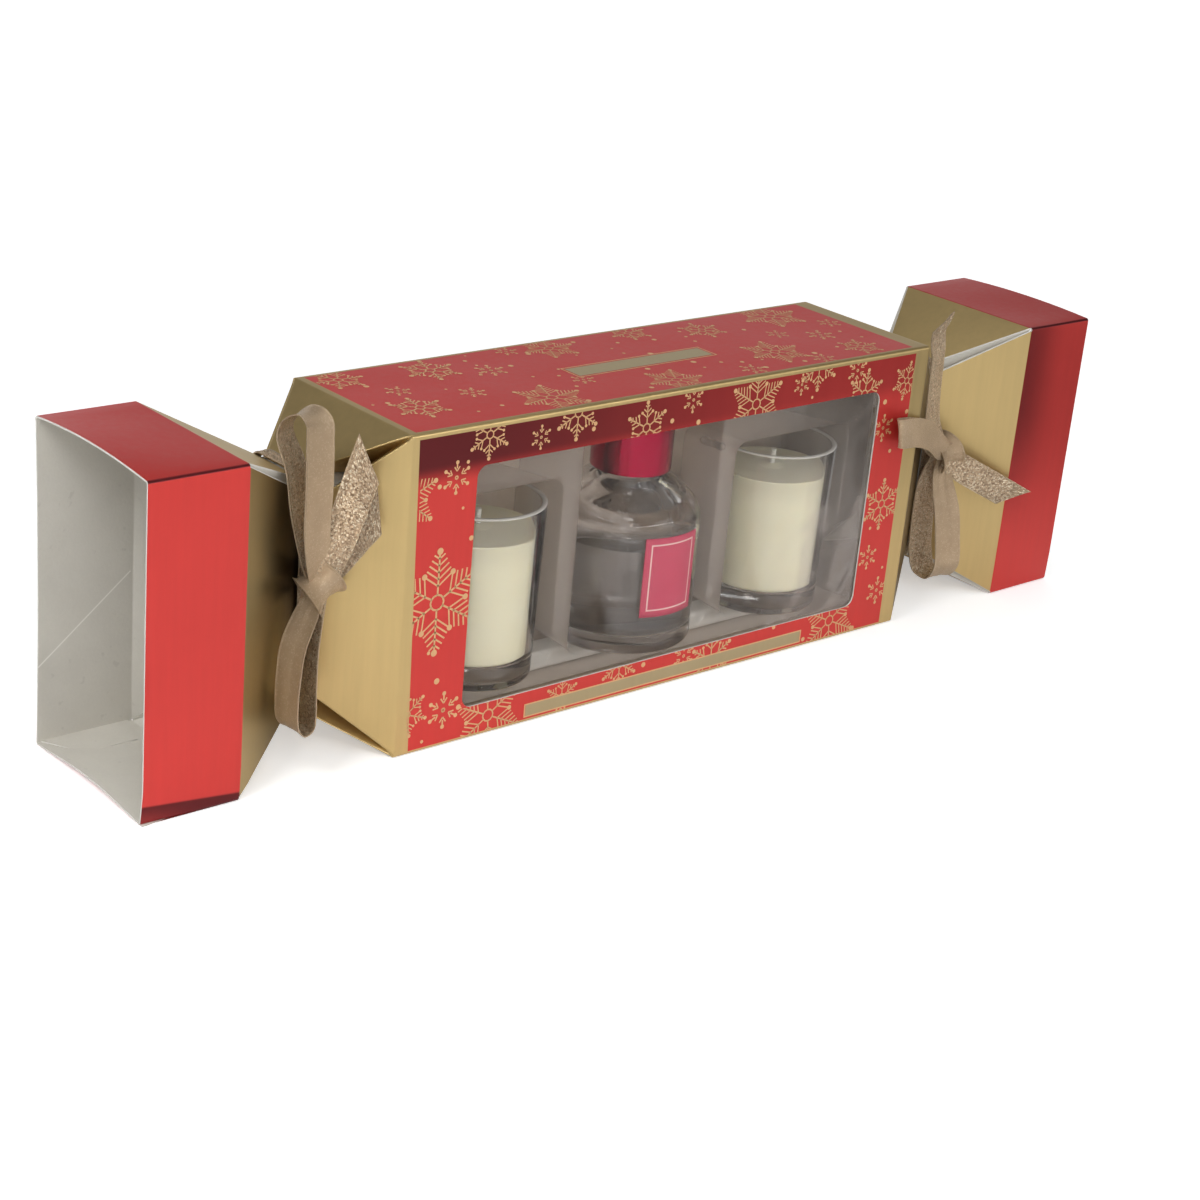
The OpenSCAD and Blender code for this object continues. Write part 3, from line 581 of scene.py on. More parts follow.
def corner_points(side, lid):
    """The box corner, the ends of the two panel edges at the neck, and the ridge's end, at the -X end."""
    a = np.array([-end_x, side * HALF_D, lid * HALF_H])
    f = np.array([-neck_x, side * NECK_Y, lid * (NECK_Z - TUCK_Z)])
    t = np.array([-neck_x, side * (NECK_Y - TUCK_Y), lid * NECK_Z])
    to_f, to_t = unit(f - a), unit(t - a)
    leaf = (math.pi - math.acos(-lid * to_f[2]) - math.acos(-side * to_t[1])) / 2
    bisector, square = unit(to_f + to_t), unit(np.cross(to_f, to_t))
    inward = square if square @ -a > 0 else -square
    tilt = math.acos(math.cos(leaf) / (to_f @ bisector))
    ridge = math.cos(tilt) * bisector + math.sin(tilt) * inward
    return a, f, t, a + math.hypot(TAPER_LENGTH, min(neck_inset_y, neck_inset_z)) * ridge


def softened(points, radius, arc_steps, wall_steps):
    """A closed outline with rolled corners of arc_steps + 1 points; side i has wall_steps[i] more."""
    def part_way(a, b):
        return a + (b - a) * min(radius / max(np.linalg.norm(b - a), 1e-9), 0.45)

    n, out = len(points), []
    for i, p in enumerate(points):
        before, after = points[i - 1], points[(i + 1) % n]
        start, end, stop = part_way(p, before), part_way(p, after), part_way(after, p)
        out += [bend(start, p, end, k / arc_steps) for k in range(arc_steps + 1)]
        out += [end + (stop - end) * k / (wall_steps[i] + 1) for k in range(1, wall_steps[i] + 1)]
    return np.array(out)


CORNER_ORDER = [(-1, 1, True), (1, 1, False), (1, -1, True), (-1, -1, False)]
WALL_STEPS = [2, 2, 9] * 4


def sleeve_ring(share, x_shift=0.0):
    """The outline at a share of the way from the end crease to the neck."""
    points = []
    for side, lid, side_first in CORNER_ORDER:
        a, f, t, ridge = corner_points(side, lid)
        roll = (1 - share) * ROLL_R
        on_side = a + roll * np.array([0, 0, -lid]) + share * (f - a)
        on_lid = a + roll * np.array([0, -side, 0]) + share * (t - a)
        tuck = a + 0.3 * roll * np.array([0, -side, -lid]) + share * (ridge - a)
        points += [on_side, tuck, on_lid] if side_first else [on_lid, tuck, on_side]
    return softened(points, ROLL_R, 4, WALL_STEPS) + np.array([x_shift, 0, mid_z])


def outward_first(rings, faces):
    """Turns the faces round if they point inward."""
    verts = np.concatenate(rings)
    a, b, c, _ = faces[len(faces) // 2 + 3]
    normal = np.cross(verts[b] - verts[a], verts[c] - verts[a])
    away = verts[a] - np.array([verts[a][0], 0, mid_z])
    return [f[::-1] for f in faces] if normal @ away < 0 else faces


def board_loft(name, rings):
    faces = outward_first(rings, ring_faces(len(rings), len(rings[0])))
    piece = tidy_mesh(new_piece(name, np.concatenate(rings), faces, SLEEVE_SKINS), outward=False)
    return modified(piece, "SOLIDIFY", thickness=board_t, offset=-1, use_even_offset=True, use_rim=True,
                    material_offset=1, material_offset_rim=2, thickness_clamp=1.2)


def mirrored(piece, name):
    """A copy for the +X end, with its faces turned back outward."""
    copy = new_object(name, piece.data.copy())
    copy.data.transform(Matrix.Diagonal((-1, 1, 1, 1)))
    copy.data.flip_normals()
    return copy


NECK_SHARES = [0, 0.018, 0.05, 0.1, 0.18, 0.3, 0.45, 0.6, 0.75, 0.88, 0.97, 1]
LAP = 3 * MM
neck_rings = [sleeve_ring(s) for s in NECK_SHARES[::-1]] + [sleeve_ring(0, d) for d in (0.5 * MM, LAP)]
left_neck = board_loft("left_neck", neck_rings)
right_neck = mirrored(left_neck, "right_neck")
print("neck loft:", len(neck_rings), "rings of", len(neck_rings[0]), "points")

# %% [markdown]
# The straight body is the same outline, and the window is cut through its front wall with a
# boolean, as the die cuts it from the blank. The cutter's own material becomes the pale edge.

# %% The body and its window
GLUE_EDGE = Vector((5 * MM, 0, 5 * MM))
window_low, window_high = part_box("window_film")[0] + GLUE_EDGE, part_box("window_film")[1] - GLUE_EDGE
WINDOW_R, CUT_REACH = 4 * MM, 2 * MM
body_rings = []
for x in np.linspace(-end_x + LAP, end_x - LAP, 13):
    ring = sleeve_ring(0)
    ring[:, 0] = x
    body_rings.append(ring)
body = board_loft("body", body_rings)


def rounded_outline(low_x, low_z, high_x, high_z, radius, steps=10):
    points = []
    for cx, cz, start in ((high_x - radius, high_z - radius, 0), (low_x + radius, high_z - radius, 90),
                          (low_x + radius, low_z + radius, 180), (high_x - radius, low_z + radius, 270)):
        for k in range(steps + 1):
            a = math.radians(start + 90 * k / steps)
            points.append((cx + radius * math.cos(a), cz + radius * math.sin(a)))
    return points


outline = rounded_outline(window_low.x, window_low.z, window_high.x, window_high.z, WINDOW_R)
n = len(outline)
verts = [(x, y, z) for y in (-HALF_D - CUT_REACH, -HALF_D + CUT_REACH) for x, z in outline]
faces = [tuple(range(n)), tuple(range(2 * n - 1, n - 1, -1))]
faces += [(i, i + n, (i + 1) % n + n, (i + 1) % n) for i in range(n)]
cutter = tidy_mesh(new_piece("window_cutter", verts, faces, [cut_edge]))
modified(body, "BOOLEAN", operation="DIFFERENCE", object=cutter, solver="EXACT", material_mode="TRANSFER")
bpy.data.objects.remove(cutter)
print("body slots:", [m.name for m in body.data.materials], "window:", round(window_high.x - window_low.x, 4))


def glue_flap(name, free_x, wall_x, skins):
    """The flap on the floor's inner face, from its free edge to the back wall."""
    z = board_t * 1.5
    corners = [(free_x[0], HALF_D - FLAP_WIDTH, z), (free_x[1], HALF_D - FLAP_WIDTH, z),
               (wall_x[0], HALF_D - board_t, z), (wall_x[1], HALF_D - board_t, z)]
    flap = new_piece(name, corners, [(0, 1, 2, 3)], skins, [1])
    return modified(flap, "SOLIDIFY", thickness=board_t * 0.8, offset=0, use_rim=True, material_offset_rim=1)


flap = glue_flap("glue_flap", (-end_x + 9 * MM, end_x - 9 * MM),
                 (end_x - 2 * MM, -end_x + 2 * MM), SLEEVE_SKINS)
carton_board = sharpened(joined("carton_board", [body, left_neck, right_neck, flap]), 50)
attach(carton_board, "carton")
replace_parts(carton_board, "carton_sleeve")
print("carton board:", len(carton_board.data.polygons), "faces")

# %% [markdown]
# ## The hoods
# A hood is a square tube whose four walls run on, past a crease, as the flare's panels. The
# corners between these panels are cut open, and behind each cut two bare leaves of the board
# fold inward from the panels' edges, so a pale slit shows there. The open end of the
# real board isn't straight: its top bows up, its back is drawn in and its lower front edge curls.

# %% Hoods
TUBE_R = 1.0 * MM
TUBE_WALL, TUBE_CORNER = 11, 3  # points on a wall, and between two walls
SLIT_Y, SLIT_Z = 3 * MM, 4 * MM
CURL_HEIGHT = 14 * MM
PANEL_BOW = 0.35 * MM
WALLS = ["front", "top", "back", "bottom"]
HOOD_SHARES = [0, 0.015, 0.06, 0.15, 0.3, 0.45, 0.6, 0.75, 0.88, 0.96, 1]
PANEL_SHARES = [0.015, 0.06, 0.15, 0.3, 0.5, 0.7, 0.85, 1]


def wall_line(wall, u, half_width, out):
    """A point of a wall at u from -1 to 1."""
    return np.array({"front": (-out, u * half_width), "top": (u * half_width, out),
                     "back": (out, -u * half_width), "bottom": (-u * half_width, -out)}[wall])


def wall_size(wall):
    """The wall's half width and its distance from the middle."""
    return (HALF_H, HALF_D) if wall in ("front", "back") else (HALF_D, HALF_H)


def hood_warp(points, share, warp):
    """Bows the walls toward the open end: warp is the top's, back's and bottom's bow and the front's curl."""
    top, back, bottom, curl = warp
    grow = share ** 1.4
    out = points.copy()
    for i, (y, z) in enumerate(points):
        across, upward = y / HALF_D, z / HALF_H
        if upward > 0.97:
            out[i, 1] += top * grow * (1 - across ** 2)
        if upward < -0.97:
            out[i, 1] += bottom * grow * max(0.0, math.sin(math.pi * (across + 1) / 2)) ** 1.5
        if across > 0.97:
            out[i, 0] += back * grow * (1 - upward ** 2)
        if across < -0.97 and upward < -1 + CURL_HEIGHT / HALF_H:
            t = (upward + 1) * HALF_H / CURL_HEIGHT
            out[i, 0] += curl * (0.35 + 0.65 * grow) * (1 - t) ** 2
    return out


def tube_ring(share, warp):
    points = []
    for wall, following in zip(WALLS, WALLS[1:] + WALLS[:1]):
        half, out = wall_size(wall)
        points += [wall_line(wall, u, half - TUBE_R, out) for u in np.linspace(-1, 1, TUBE_WALL)]
        after, start = points[-1], wall_line(following, -1, out - TUBE_R, half)
        tip = wall_line(wall, 1, half, out)
        points += [bend(after, tip, start, k / (TUBE_CORNER + 1)) for k in range(1, TUBE_CORNER + 1)]
    y, z = hood_warp(np.array(points), share, warp).T
    return np.column_stack([np.full(len(points), -crease_x - share * HOOD_LENGTH), y, z + mid_z])


def flare_panel(wall, first, base, verts):
    """Adds a wall's panel of the flare to verts, and gives its rows; it starts at the tube's own points."""
    half, out = wall_size(wall)
    inset, slit = ((neck_inset_y, SLIT_Z + neck_inset_z) if wall in ("front", "back")
                   else (neck_inset_z, SLIT_Y + neck_inset_y))
    rows = [list(range(first, first + TUBE_WALL))]
    for s in PANEL_SHARES:
        rows.append(list(range(len(verts), len(verts) + TUBE_WALL)))
        fade = max(0.0, 1 - s / 0.15)
        for k, u in enumerate(np.linspace(-1, 1, TUBE_WALL)):
            bow = PANEL_BOW * math.sin(math.pi * s) * (1 - u * u)
            p = wall_line(wall, u, (half - TUBE_R) * (1 - s) + (half - slit) * s, out - s * inset + bow)
            p = p + fade * (base[k][1:] - np.array([0, mid_z]) - wall_line(wall, u, half - TUBE_R, out))
            verts.append(np.array([-crease_x + s * (crease_x - hood_neck_x), p[0], p[1] + mid_z]))
    return rows


def hood_leaf(name, side, lid):
    """The two bare leaves that fold inward behind the slit of one corner."""
    corner = [(HALF_D - 0.4 * MM, HALF_H - 1 * MM), (HALF_D - 1.5 * MM, HALF_H - 1.5 * MM),
              (HALF_D - 1 * MM, HALF_H - 0.4 * MM)]
    throat = [(NECK_Y - 0.4 * MM, NECK_Z - SLIT_Z), (NECK_Y - SLIT_Y - 2 * MM, NECK_Z - SLIT_Z - 2.5 * MM),
              (NECK_Y - SLIT_Y, NECK_Z - 0.4 * MM)]
    points = [(-x, side * y, mid_z + lid * z)
              for x, row in ((crease_x, corner), (hood_neck_x, throat)) for y, z in row]
    leaf = new_piece(name, points, [(0, 3, 4, 1), (1, 4, 5, 2)], HOOD_SKINS, [1, 1])
    return modified(leaf, "SOLIDIFY", thickness=board_t * 0.7, offset=0, use_rim=True, material_offset_rim=1)


def hood_piece(name, warp):
    rings = [tube_ring(s, warp) for s in HOOD_SHARES]
    verts = list(np.concatenate(rings))
    faces = outward_first(rings, ring_faces(len(rings), len(rings[0])))
    flip = faces[0][0] != 0
    for w, wall in enumerate(WALLS):
        first = w * (TUBE_WALL + TUBE_CORNER)
        rows = flare_panel(wall, first, rings[0][first:first + TUBE_WALL], verts)
        for a, b in zip(rows, rows[1:]):
            for k in range(TUBE_WALL - 1):
                quad = (a[k], b[k], b[k + 1], a[k + 1])
                faces.append(quad[::-1] if flip else quad)
    piece = tidy_mesh(new_piece(name, verts, faces, HOOD_SKINS), outward=False)
    modified(piece, "SOLIDIFY", thickness=board_t, offset=-1, use_rim=True,
             material_offset=1, material_offset_rim=2)
    leaves = [hood_leaf(name + "_leaf", side, lid) for side, lid in CORNERS]
    flap = glue_flap(name + "_flap", (-mouth_x + 9 * MM, -crease_x - 6 * MM),
                     (-crease_x - 1.5 * MM, -mouth_x + 1.2 * MM), HOOD_SKINS)
    return joined(name, [piece, flap] + leaves)


left_hood_board = hood_piece("left_hood_board", (1.9 * MM, -1.0 * MM, 2.2 * MM, 1.6 * MM))
right_source = hood_piece("right_source", (1.2 * MM, -0.8 * MM, 0.8 * MM, 0.5 * MM))
right_hood_board = mirrored(right_source, "right_hood_board")
bpy.data.objects.remove(right_source)
for piece, body_name in ((left_hood_board, "left_hood"), (right_hood_board, "right_hood")):
    sharpened(piece, 50)
    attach(piece, body_name)
    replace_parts(piece, body_name)
    print(piece.name, len(piece.data.polygons), "faces")

# %% [markdown]
# Under the ribbon the board runs on from the neck to the hood as one bent strip, and its corners
# stay tucked in like the gussets on both sides.

# %% Board strip inside each neck
STRIP_ROWS = 7
STRIP_LAP = 0.8 * MM
STRIP_HALF_Z, STRIP_HALF_Y = 26 * MM, 8 * MM


def strip_wall(wall, sign):
    """A flat part of the strip; it dips a little in its middle, under the ribbon."""
    half, out = (STRIP_HALF_Z, NECK_Y) if wall in ("front", "back") else (STRIP_HALF_Y, NECK_Z)
    verts = []
    for t in np.linspace(0, 1, STRIP_ROWS):
        x = neck_x - STRIP_LAP + t * (hood_neck_x - neck_x + 2 * STRIP_LAP)
        dip = 0.35 * MM * (1 - (2 * t - 1) ** 2)
        for u in np.linspace(-1, 1, 9):
            y, z = wall_line(wall, u, half, out - 0.25 * MM + 0.5 * MM * abs(2 * t - 1) - dip * 0.3)
            verts.append((sign * x, y, z + mid_z))
    faces = ring_faces(STRIP_ROWS, 9, closed=False)
    return new_piece("strip_" + wall, verts, faces, HOOD_SKINS, [1] * len(faces))


def strip_corner(side, lid, sign):
    """A tucked corner of the strip, from the gusset's ridge to the hood's leaves."""
    ridge = np.abs(corner_points(side, lid)[3])
    at_body = [(NECK_Y, STRIP_HALF_Z), (NECK_Y, NECK_Z - TUCK_Z), (ridge[1] - 0.3 * MM, ridge[2] - 0.3 * MM),
               (NECK_Y - TUCK_Y, NECK_Z), (STRIP_HALF_Y, NECK_Z)]
    at_hood = [(NECK_Y, STRIP_HALF_Z), (NECK_Y, NECK_Z - SLIT_Z),
               (NECK_Y - SLIT_Y - 2.4 * MM, NECK_Z - SLIT_Z - 2.9 * MM),
               (NECK_Y - SLIT_Y, NECK_Z), (STRIP_HALF_Y, NECK_Z)]
    verts = []
    for t in np.linspace(0, 1, STRIP_ROWS):
        swell = -0.25 * MM + 0.5 * MM * abs(2 * t - 1) - 0.1 * MM * (1 - (2 * t - 1) ** 2)
        for j, (a, b) in enumerate(zip(at_body, at_hood)):
            y = a[0] + (b[0] - a[0]) * t + (swell if j < 2 else 0)
            z = a[1] + (b[1] - a[1]) * t + (swell if j > 2 else 0)
            first_x = (ridge[0] if j == 2 else neck_x) - STRIP_LAP
            x = first_x + t * (hood_neck_x + STRIP_LAP - first_x)
            verts.append((sign * x, side * y, mid_z + lid * z))
    faces = ring_faces(STRIP_ROWS, 5, closed=False)
    return new_piece("strip_corner", verts, faces, HOOD_SKINS, [1] * len(faces))


for sign, hood in ((-1, "left_hood"), (1, "right_hood")):
    parts = [strip_wall(wall, sign) for wall in ("front", "back", "top", "bottom")]
    parts += [strip_corner(side, lid, sign) for side, lid in CORNERS]
    strip = joined(hood.split("_")[0] + "_neck_strip", parts)
    modified(strip, "SOLIDIFY", thickness=0.3 * MM, offset=0)
    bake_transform(strip)

# %% [markdown]
# ## The printed snowflakes
# The red print leaves snowflakes and dots of bare gold foil. A flake follows a rule: six equal
# arms with twigs that shorten toward the tip. Geometry Nodes build one flake from named sizes
# and then scatter it on points. The flakes lie on the board as a very thin foil layer and are
# trimmed where the print stops and where the window is cut.

# %% Print foils
print_gold, tree, shader = new_material("print_gold", (0.72, 0.42, 0.20), metallic=0.25, roughness=0.45)
skin = use_group(foil_group, object_place(tree), Brush=0.5)
wire(shader, base_color=mix_colour(skin["Shade"], (0.62, 0.34, 0.15), (0.80, 0.50, 0.26)),
     normal=bump(skin["Height"], 0.0016, 0.5))
plate_gold, tree, shader = new_material("plate_gold", (0.42, 0.32, 0.16), metallic=0.4, roughness=0.4)
skin = use_group(foil_group, object_place(tree), Brush=0.5)
wire(shader, base_color=mix_colour(skin["Shade"], (0.36, 0.28, 0.15), (0.48, 0.39, 0.22)))

# %% One snowflake, as a node tree
def vector(tree, x=0.0, y=0.0, z=0.0):
    return add(tree, "ShaderNodeCombineXYZ", None, {"X": x, "Y": y, "Z": z})[0]


def ended(geometry, material):
    """The tree's last nodes: what it placed becomes real geometry and gets its material."""
    real = add(geometry.tree, "GeometryNodeRealizeInstances", None, {0: geometry})[0]
    return add(geometry.tree, "GeometryNodeSetMaterial", None, {"Geometry": real, "Material": material})[0]


def placed(geometry, move=(0, 0, 0), turn=(0, 0, 0), size=(1, 1, 1)):
    return add(geometry.tree, "GeometryNodeTransform", None, {
        "Geometry": geometry, "Translation": move, "Rotation": turn, "Scale": size})[0]


def copied(points, instance, turn, size=(1, 1, 1)):
    return add(points.tree, "GeometryNodeInstanceOnPoints", None, {
        "Points": points, "Instance": instance, "Rotation": turn, "Scale": size})[0]


def bar(length, width):
    grid = add(length.tree, "GeometryNodeMeshGrid", None, {
        "Size X": length, "Size Y": width, "Vertices X": 2, "Vertices Y": 2})[0]
    return placed(grid, vector(length.tree, length * 0.5))


flake_tree, given, out = new_tree("GeometryNodeTree", "snowflake", {
    "Geometry": "Geometry", "Line": 0.045, "Arm Start": 0.15, "Twigs": 5, "First Twig": 0.32,
    "Last Twig": 0.85, "Twig Length": 0.36, "Twig Angle": 0.85, "Tip Dot": 0.07, "Twig Dot": 0.06,
    "Second Dot": 0.06, "Ring": 0.15, "Foil": "Material"}, {"Geometry": "Geometry"})
joint = add(flake_tree, "GeometryNodeJoinGeometry")
arm_parts = joint.node.inputs[0]
put(arm_parts, placed(bar(1.0 - given["Arm Start"], given["Line"]), vector(flake_tree, given["Arm Start"])))
first_twig = vector(flake_tree, given["First Twig"])
last_twig = vector(flake_tree, given["Last Twig"])
twig_points = add(flake_tree, "GeometryNodeMeshLine", {"mode": "END_POINTS"}, {
    "Count": given["Twigs"], "Start Location": first_twig, "Offset": last_twig})[0]
index = add(flake_tree, "GeometryNodeInputIndex")[0]
shorter = 1.0 - 0.62 * calc("DIVIDE", index, larger(given["Twigs"] - 1.0, 1.0))
disc = add(flake_tree, "GeometryNodeMeshCircle", {"fill_type": "NGON"}, {"Vertices": 12, "Radius": 1.0})[0]


def dot_at(x, radius):
    return placed(disc, vector(flake_tree, x, 0.0, 0.003), size=vector(flake_tree, radius, radius, radius))


for way, dot_size in ((1.0, given["Twig Dot"]), (-1.0, given["Second Dot"])):
    spin = vector(flake_tree, z=given["Twig Angle"] * way)
    twig = bar(given["Twig Length"], given["Line"] * 0.85)
    put(arm_parts, copied(twig_points, twig, spin, vector(flake_tree, shorter, 1.0, 1.0)))
    put(arm_parts, placed(dot_at(given["Twig Length"], dot_size), first_twig, spin))
put(arm_parts, dot_at(1.0, given["Tip Dot"]))
for start in (0.0, math.radians(30)):
    ring_point = vector(flake_tree, given["Ring"] * math.cos(start), given["Ring"] * math.sin(start))
    chord = bar(given["Ring"] * 0.54, given["Line"])
    put(arm_parts, placed(chord, ring_point, (0, 0, start + math.radians(105))))
one_arm = add(flake_tree, "GeometryNodeMergeByDistance", None, {"Geometry": joint[0], "Distance": 0.002})[0]
six = add(flake_tree, "GeometryNodeMeshLine", {"mode": "OFFSET"}, {"Count": 6, "Offset": (0, 0, 0)})[0]
index = add(flake_tree, "GeometryNodeInputIndex")[0]
arms = copied(six, one_arm, vector(flake_tree, z=index * math.radians(60)))
put(out["Geometry"], ended(arms, given["Foil"]))


def run_tree(name, tree, values, start=None):
    """A new object whose mesh is what the tree makes, with the tree's inputs set by their identifiers."""
    piece = new_object(name, start or bpy.data.meshes.new(name))
    modifier = piece.modifiers.new(tree.name, "NODES")
    modifier.node_group = tree
    for item in tree.interface.items_tree:
        if item.in_out == "INPUT" and item.name in values:
            modifier[item.identifier] = values[item.name]
    return made_plain(piece)


fern = {"Line": 0.038, "Twigs": 5, "Twig Length": 0.3965, "Twig Angle": 0.939, "Second Dot": 0.0}
plain = {"Line": 0.056, "Twigs": 3, "First Twig": 0.40, "Last Twig": 0.80, "Twig Length": 0.34,
         "Tip Dot": 0.085, "Ring": 0.17, "Arm Start": 0.17}
dotted = {"Line": 0.10, "Arm Start": 0.60, "Twigs": 1, "First Twig": 0.42, "Last Twig": 0.42,
          "Twig Length": 0.36, "Twig Angle": 0.62, "Twig Dot": 0.0, "Second Dot": 0.0,
          "Tip Dot": 0.13, "Ring": 0.10}
flake_kinds = [run_tree(name, flake_tree, values) for name, values in (
    ("fern_flake", fern), ("plain_flake", plain), ("dotted_flake", dotted))]
circle = [(math.cos(i * math.pi / 6), math.sin(i * math.pi / 6), 0) for i in range(12)]
flake_kinds.append(new_piece("dot", circle, [range(12)], []))
print("flake faces:", [len(k.data.polygons) for k in flake_kinds])

# %% Scatter the flakes over a face, as a node tree
scatter_tree, given, out = new_tree("GeometryNodeTree", "scatter_print", {
    "Geometry": "Geometry", "Flake": "Object", "Foil": "Material"}, {"Geometry": "Geometry"})
flake = add(scatter_tree, "GeometryNodeObjectInfo", None, {"Object": given["Flake"]})["Geometry"]
size, turn = (add(scatter_tree, "GeometryNodeInputNamedAttribute", {"data_type": "FLOAT"}, {"Name": name})[0]
              for name in ("size", "turn"))
copies = copied(given["Geometry"], flake, vector(scatter_tree, z=turn),
                vector(scatter_tree, size, size, size))
put(out["Geometry"], ended(copies, given["Foil"]))


def scattered(name, kind, spots):
    """spots: (x, y, size, turn) in millimetres and degrees."""
    mesh = bpy.data.meshes.new(name)
    mesh.from_pydata([(x * MM, y * MM, 0) for x, y, _, _ in spots], [], [])
    for label, column, factor in (("size", 2, MM), ("turn", 3, math.pi / 180)):
        values = [s[column] * factor for s in spots]
        mesh.attributes.new(label, "FLOAT", "POINT").data.foreach_set("value", values)
    return run_tree(name, scatter_tree, {"Flake": flake_kinds[kind], "Foil": print_gold}, mesh)


# %% Places of the flakes on the front and on the lid
FRONT_BIG = [
    (-104, 52, 17.6, 90), (-119, 88.9, 12.5, 84), (-113.4, 14.6, 8, 100), (-79.6, 6.6, 14.1, 95),
    (-87.1, 106, 8, 90), (-50.9, 108.1, 9, 88), (-20.4, 98.5, 9, 92), (30.3, 99.8, 12.5, 90),
    (85.2, 96, 9, 84), (102.7, 50.7, 9.5, 90), (82.3, 7.6, 13.5, 96), (-22.2, 12.5, 8.1, 90),
    (107.3, 98.2, 7, 80), (60, 110, 9, 90), (-47.7, 6, 7, 90), (22, 5, 10, 92)]
FRONT_SMALL = [
    (-99.4, 93.6, 5.1, 90), (-98.6, 12.9, 6, 90), (80, 105.6, 4.5, 90), (97.8, 81.3, 4.8, 90),
    (106.6, 15.2, 5, 90), (8.3, 9.1, 4.6, 90), (0, 105.5, 4.2, 90), (99, 30, 4.4, 90), (52, 104, 3.6, 90),
    (-66, 102, 3.8, 90)]
LID_BIG = [
    (-52.6, -21, 12.5, 10), (-98.7, -11.1, 9.5, 20), (-17.7, 23.7, 10.5, 5), (-71.7, 20, 10, 15),
    (-0.3, -24, 11, 0), (56.6, -13.6, 12, 12), (88.4, 22, 13, 8), (50.6, 18.5, 8.5, 20), (92, -22, 8, 5),
    (-106, 24, 9, 0), (22, 27, 8, 10)]
LID_SMALL = [
    (-73.4, -5.5, 4.4, 0), (-52.7, 11.4, 5.2, 10), (88.8, -4.6, 5.1, 0), (-30, -10, 4, 0), (74, 3, 4, 0),
    (-95, 6, 4.2, 0), (34, -26, 4.6, 0), (-34, 27, 4, 0), (104, 6, 4.2, 0), (68, -27, 4.4, 0)]
WINDOW_MM = (window_low.x / MM, window_low.z / MM, window_high.x / MM, window_high.z / MM)
PLATE_LID = (-29.6, -7.6, 34, 3)
PLATE_FRONT = (-64, 1.9, 67.7, 6.9)
random_dots = np.random.default_rng(7)


def dots(low, high, count, keep_off):
    """Random small spots, clear of the flakes and of each other."""
    spots = []
    while len(spots) < count:
        x, y = random_dots.uniform(low, high)
        if all(math.hypot(x - s[0], y - s[1]) > 0.8 * s[2] + 2 for s in keep_off) and all(
                math.hypot(x - s[0], y - s[1]) > 5 for s in spots):
            spots.append((x, y, random_dots.uniform(0.45, 1.15), 0))
    return spots


def without(box, hole):
    """The boxes that are left of a box when a hole is cut from it."""
    (x0, y0, x1, y1), (hx0, hy0, hx1, hy1) = box, hole
    if hx1 <= x0 or hx0 >= x1 or hy1 <= y0 or hy0 >= y1:
        return [box]
    pieces = [(x0, y0, hx0, y1), (hx1, y0, x1, y1), (max(x0, hx0), y0, min(x1, hx1), hy0),
              (max(x0, hx0), hy1, min(x1, hx1), y1)]
    return [b for b in pieces if b[2] - b[0] > 0.01 and b[3] - b[1] > 0.01]


def trimmed(source, name, field, holes):
    """Keeps what of a flat print lies in the field and in no hole: (low x, low y, high x, high y) in mm."""
    boxes = [field]
    for hole in holes:
        boxes = [left for box in boxes for left in without(box, hole)]
    whole = bmesh.new()
    for x0, y0, x1, y1 in boxes:
        part = source.data.copy()
        with edited(part) as shape:
            for x, y, normal in ((x0, 0, (-1, 0, 0)), (x1, 0, (1, 0, 0)),
                                 (0, y0, (0, -1, 0)), (0, y1, (0, 1, 0))):
                bmesh.ops.bisect_plane(
                    shape, geom=shape.verts[:] + shape.edges[:] + shape.faces[:], dist=1e-9,
                    plane_co=(x * MM, y * MM, 0), plane_no=normal, clear_outer=True)
        whole.from_mesh(part)
        bpy.data.meshes.remove(part)
    source.data = bpy.data.meshes.new(name)
    whole.to_mesh(source.data)
    whole.free()
    return source


FOIL_LIFT = 0.04 * MM
FRONT_FIELD = (RED_LEFT / MM, RED_LOW / MM, RED_RIGHT / MM, RED_HIGH / MM)
BACK_FIELD = (-RED_RIGHT / MM, RED_LOW / MM, -RED_LEFT / MM, RED_HIGH / MM)
LID_FIELD = (RED_LEFT / MM - 1, -RED_DEPTH / MM, RED_RIGHT / MM, RED_DEPTH / MM)
PLATE_LINE = 0.5
BIG_FLAKE = 10.4  # from this radius on a flake is of the first kind


def flat_boxes(name, boxes, material):
    verts = [(x * MM, y * MM, 0)
             for x0, y0, x1, y1 in boxes for x, y in ((x0, y0), (x1, y0), (x1, y1), (x0, y1))]
    faces = [range(i, i + 4) for i in range(0, len(verts), 4)]
    return new_piece(name, verts, faces, [material])


def plate(box):
    """A bare plate: its fill, and its outline of four bars."""
    x0, y0, x1, y1 = box
    gap_x, gap_y = (1.1, 1.1) if y1 - y0 > 6 else (0.6, 0.5)
    line = PLATE_LINE
    bars = [(x0, y0, x1, y0 + line), (x0, y1 - line, x1, y1), (x0, y0 + line, x0 + line, y1 - line),
            (x1 - line, y0 + line, x1, y1 - line)]
    return [flat_boxes("plate_fill", [(x0 + gap_x, y0 + gap_y, x1 - gap_x, y1 - gap_y)], plate_gold),
            flat_boxes("plate_line", bars, print_gold)]


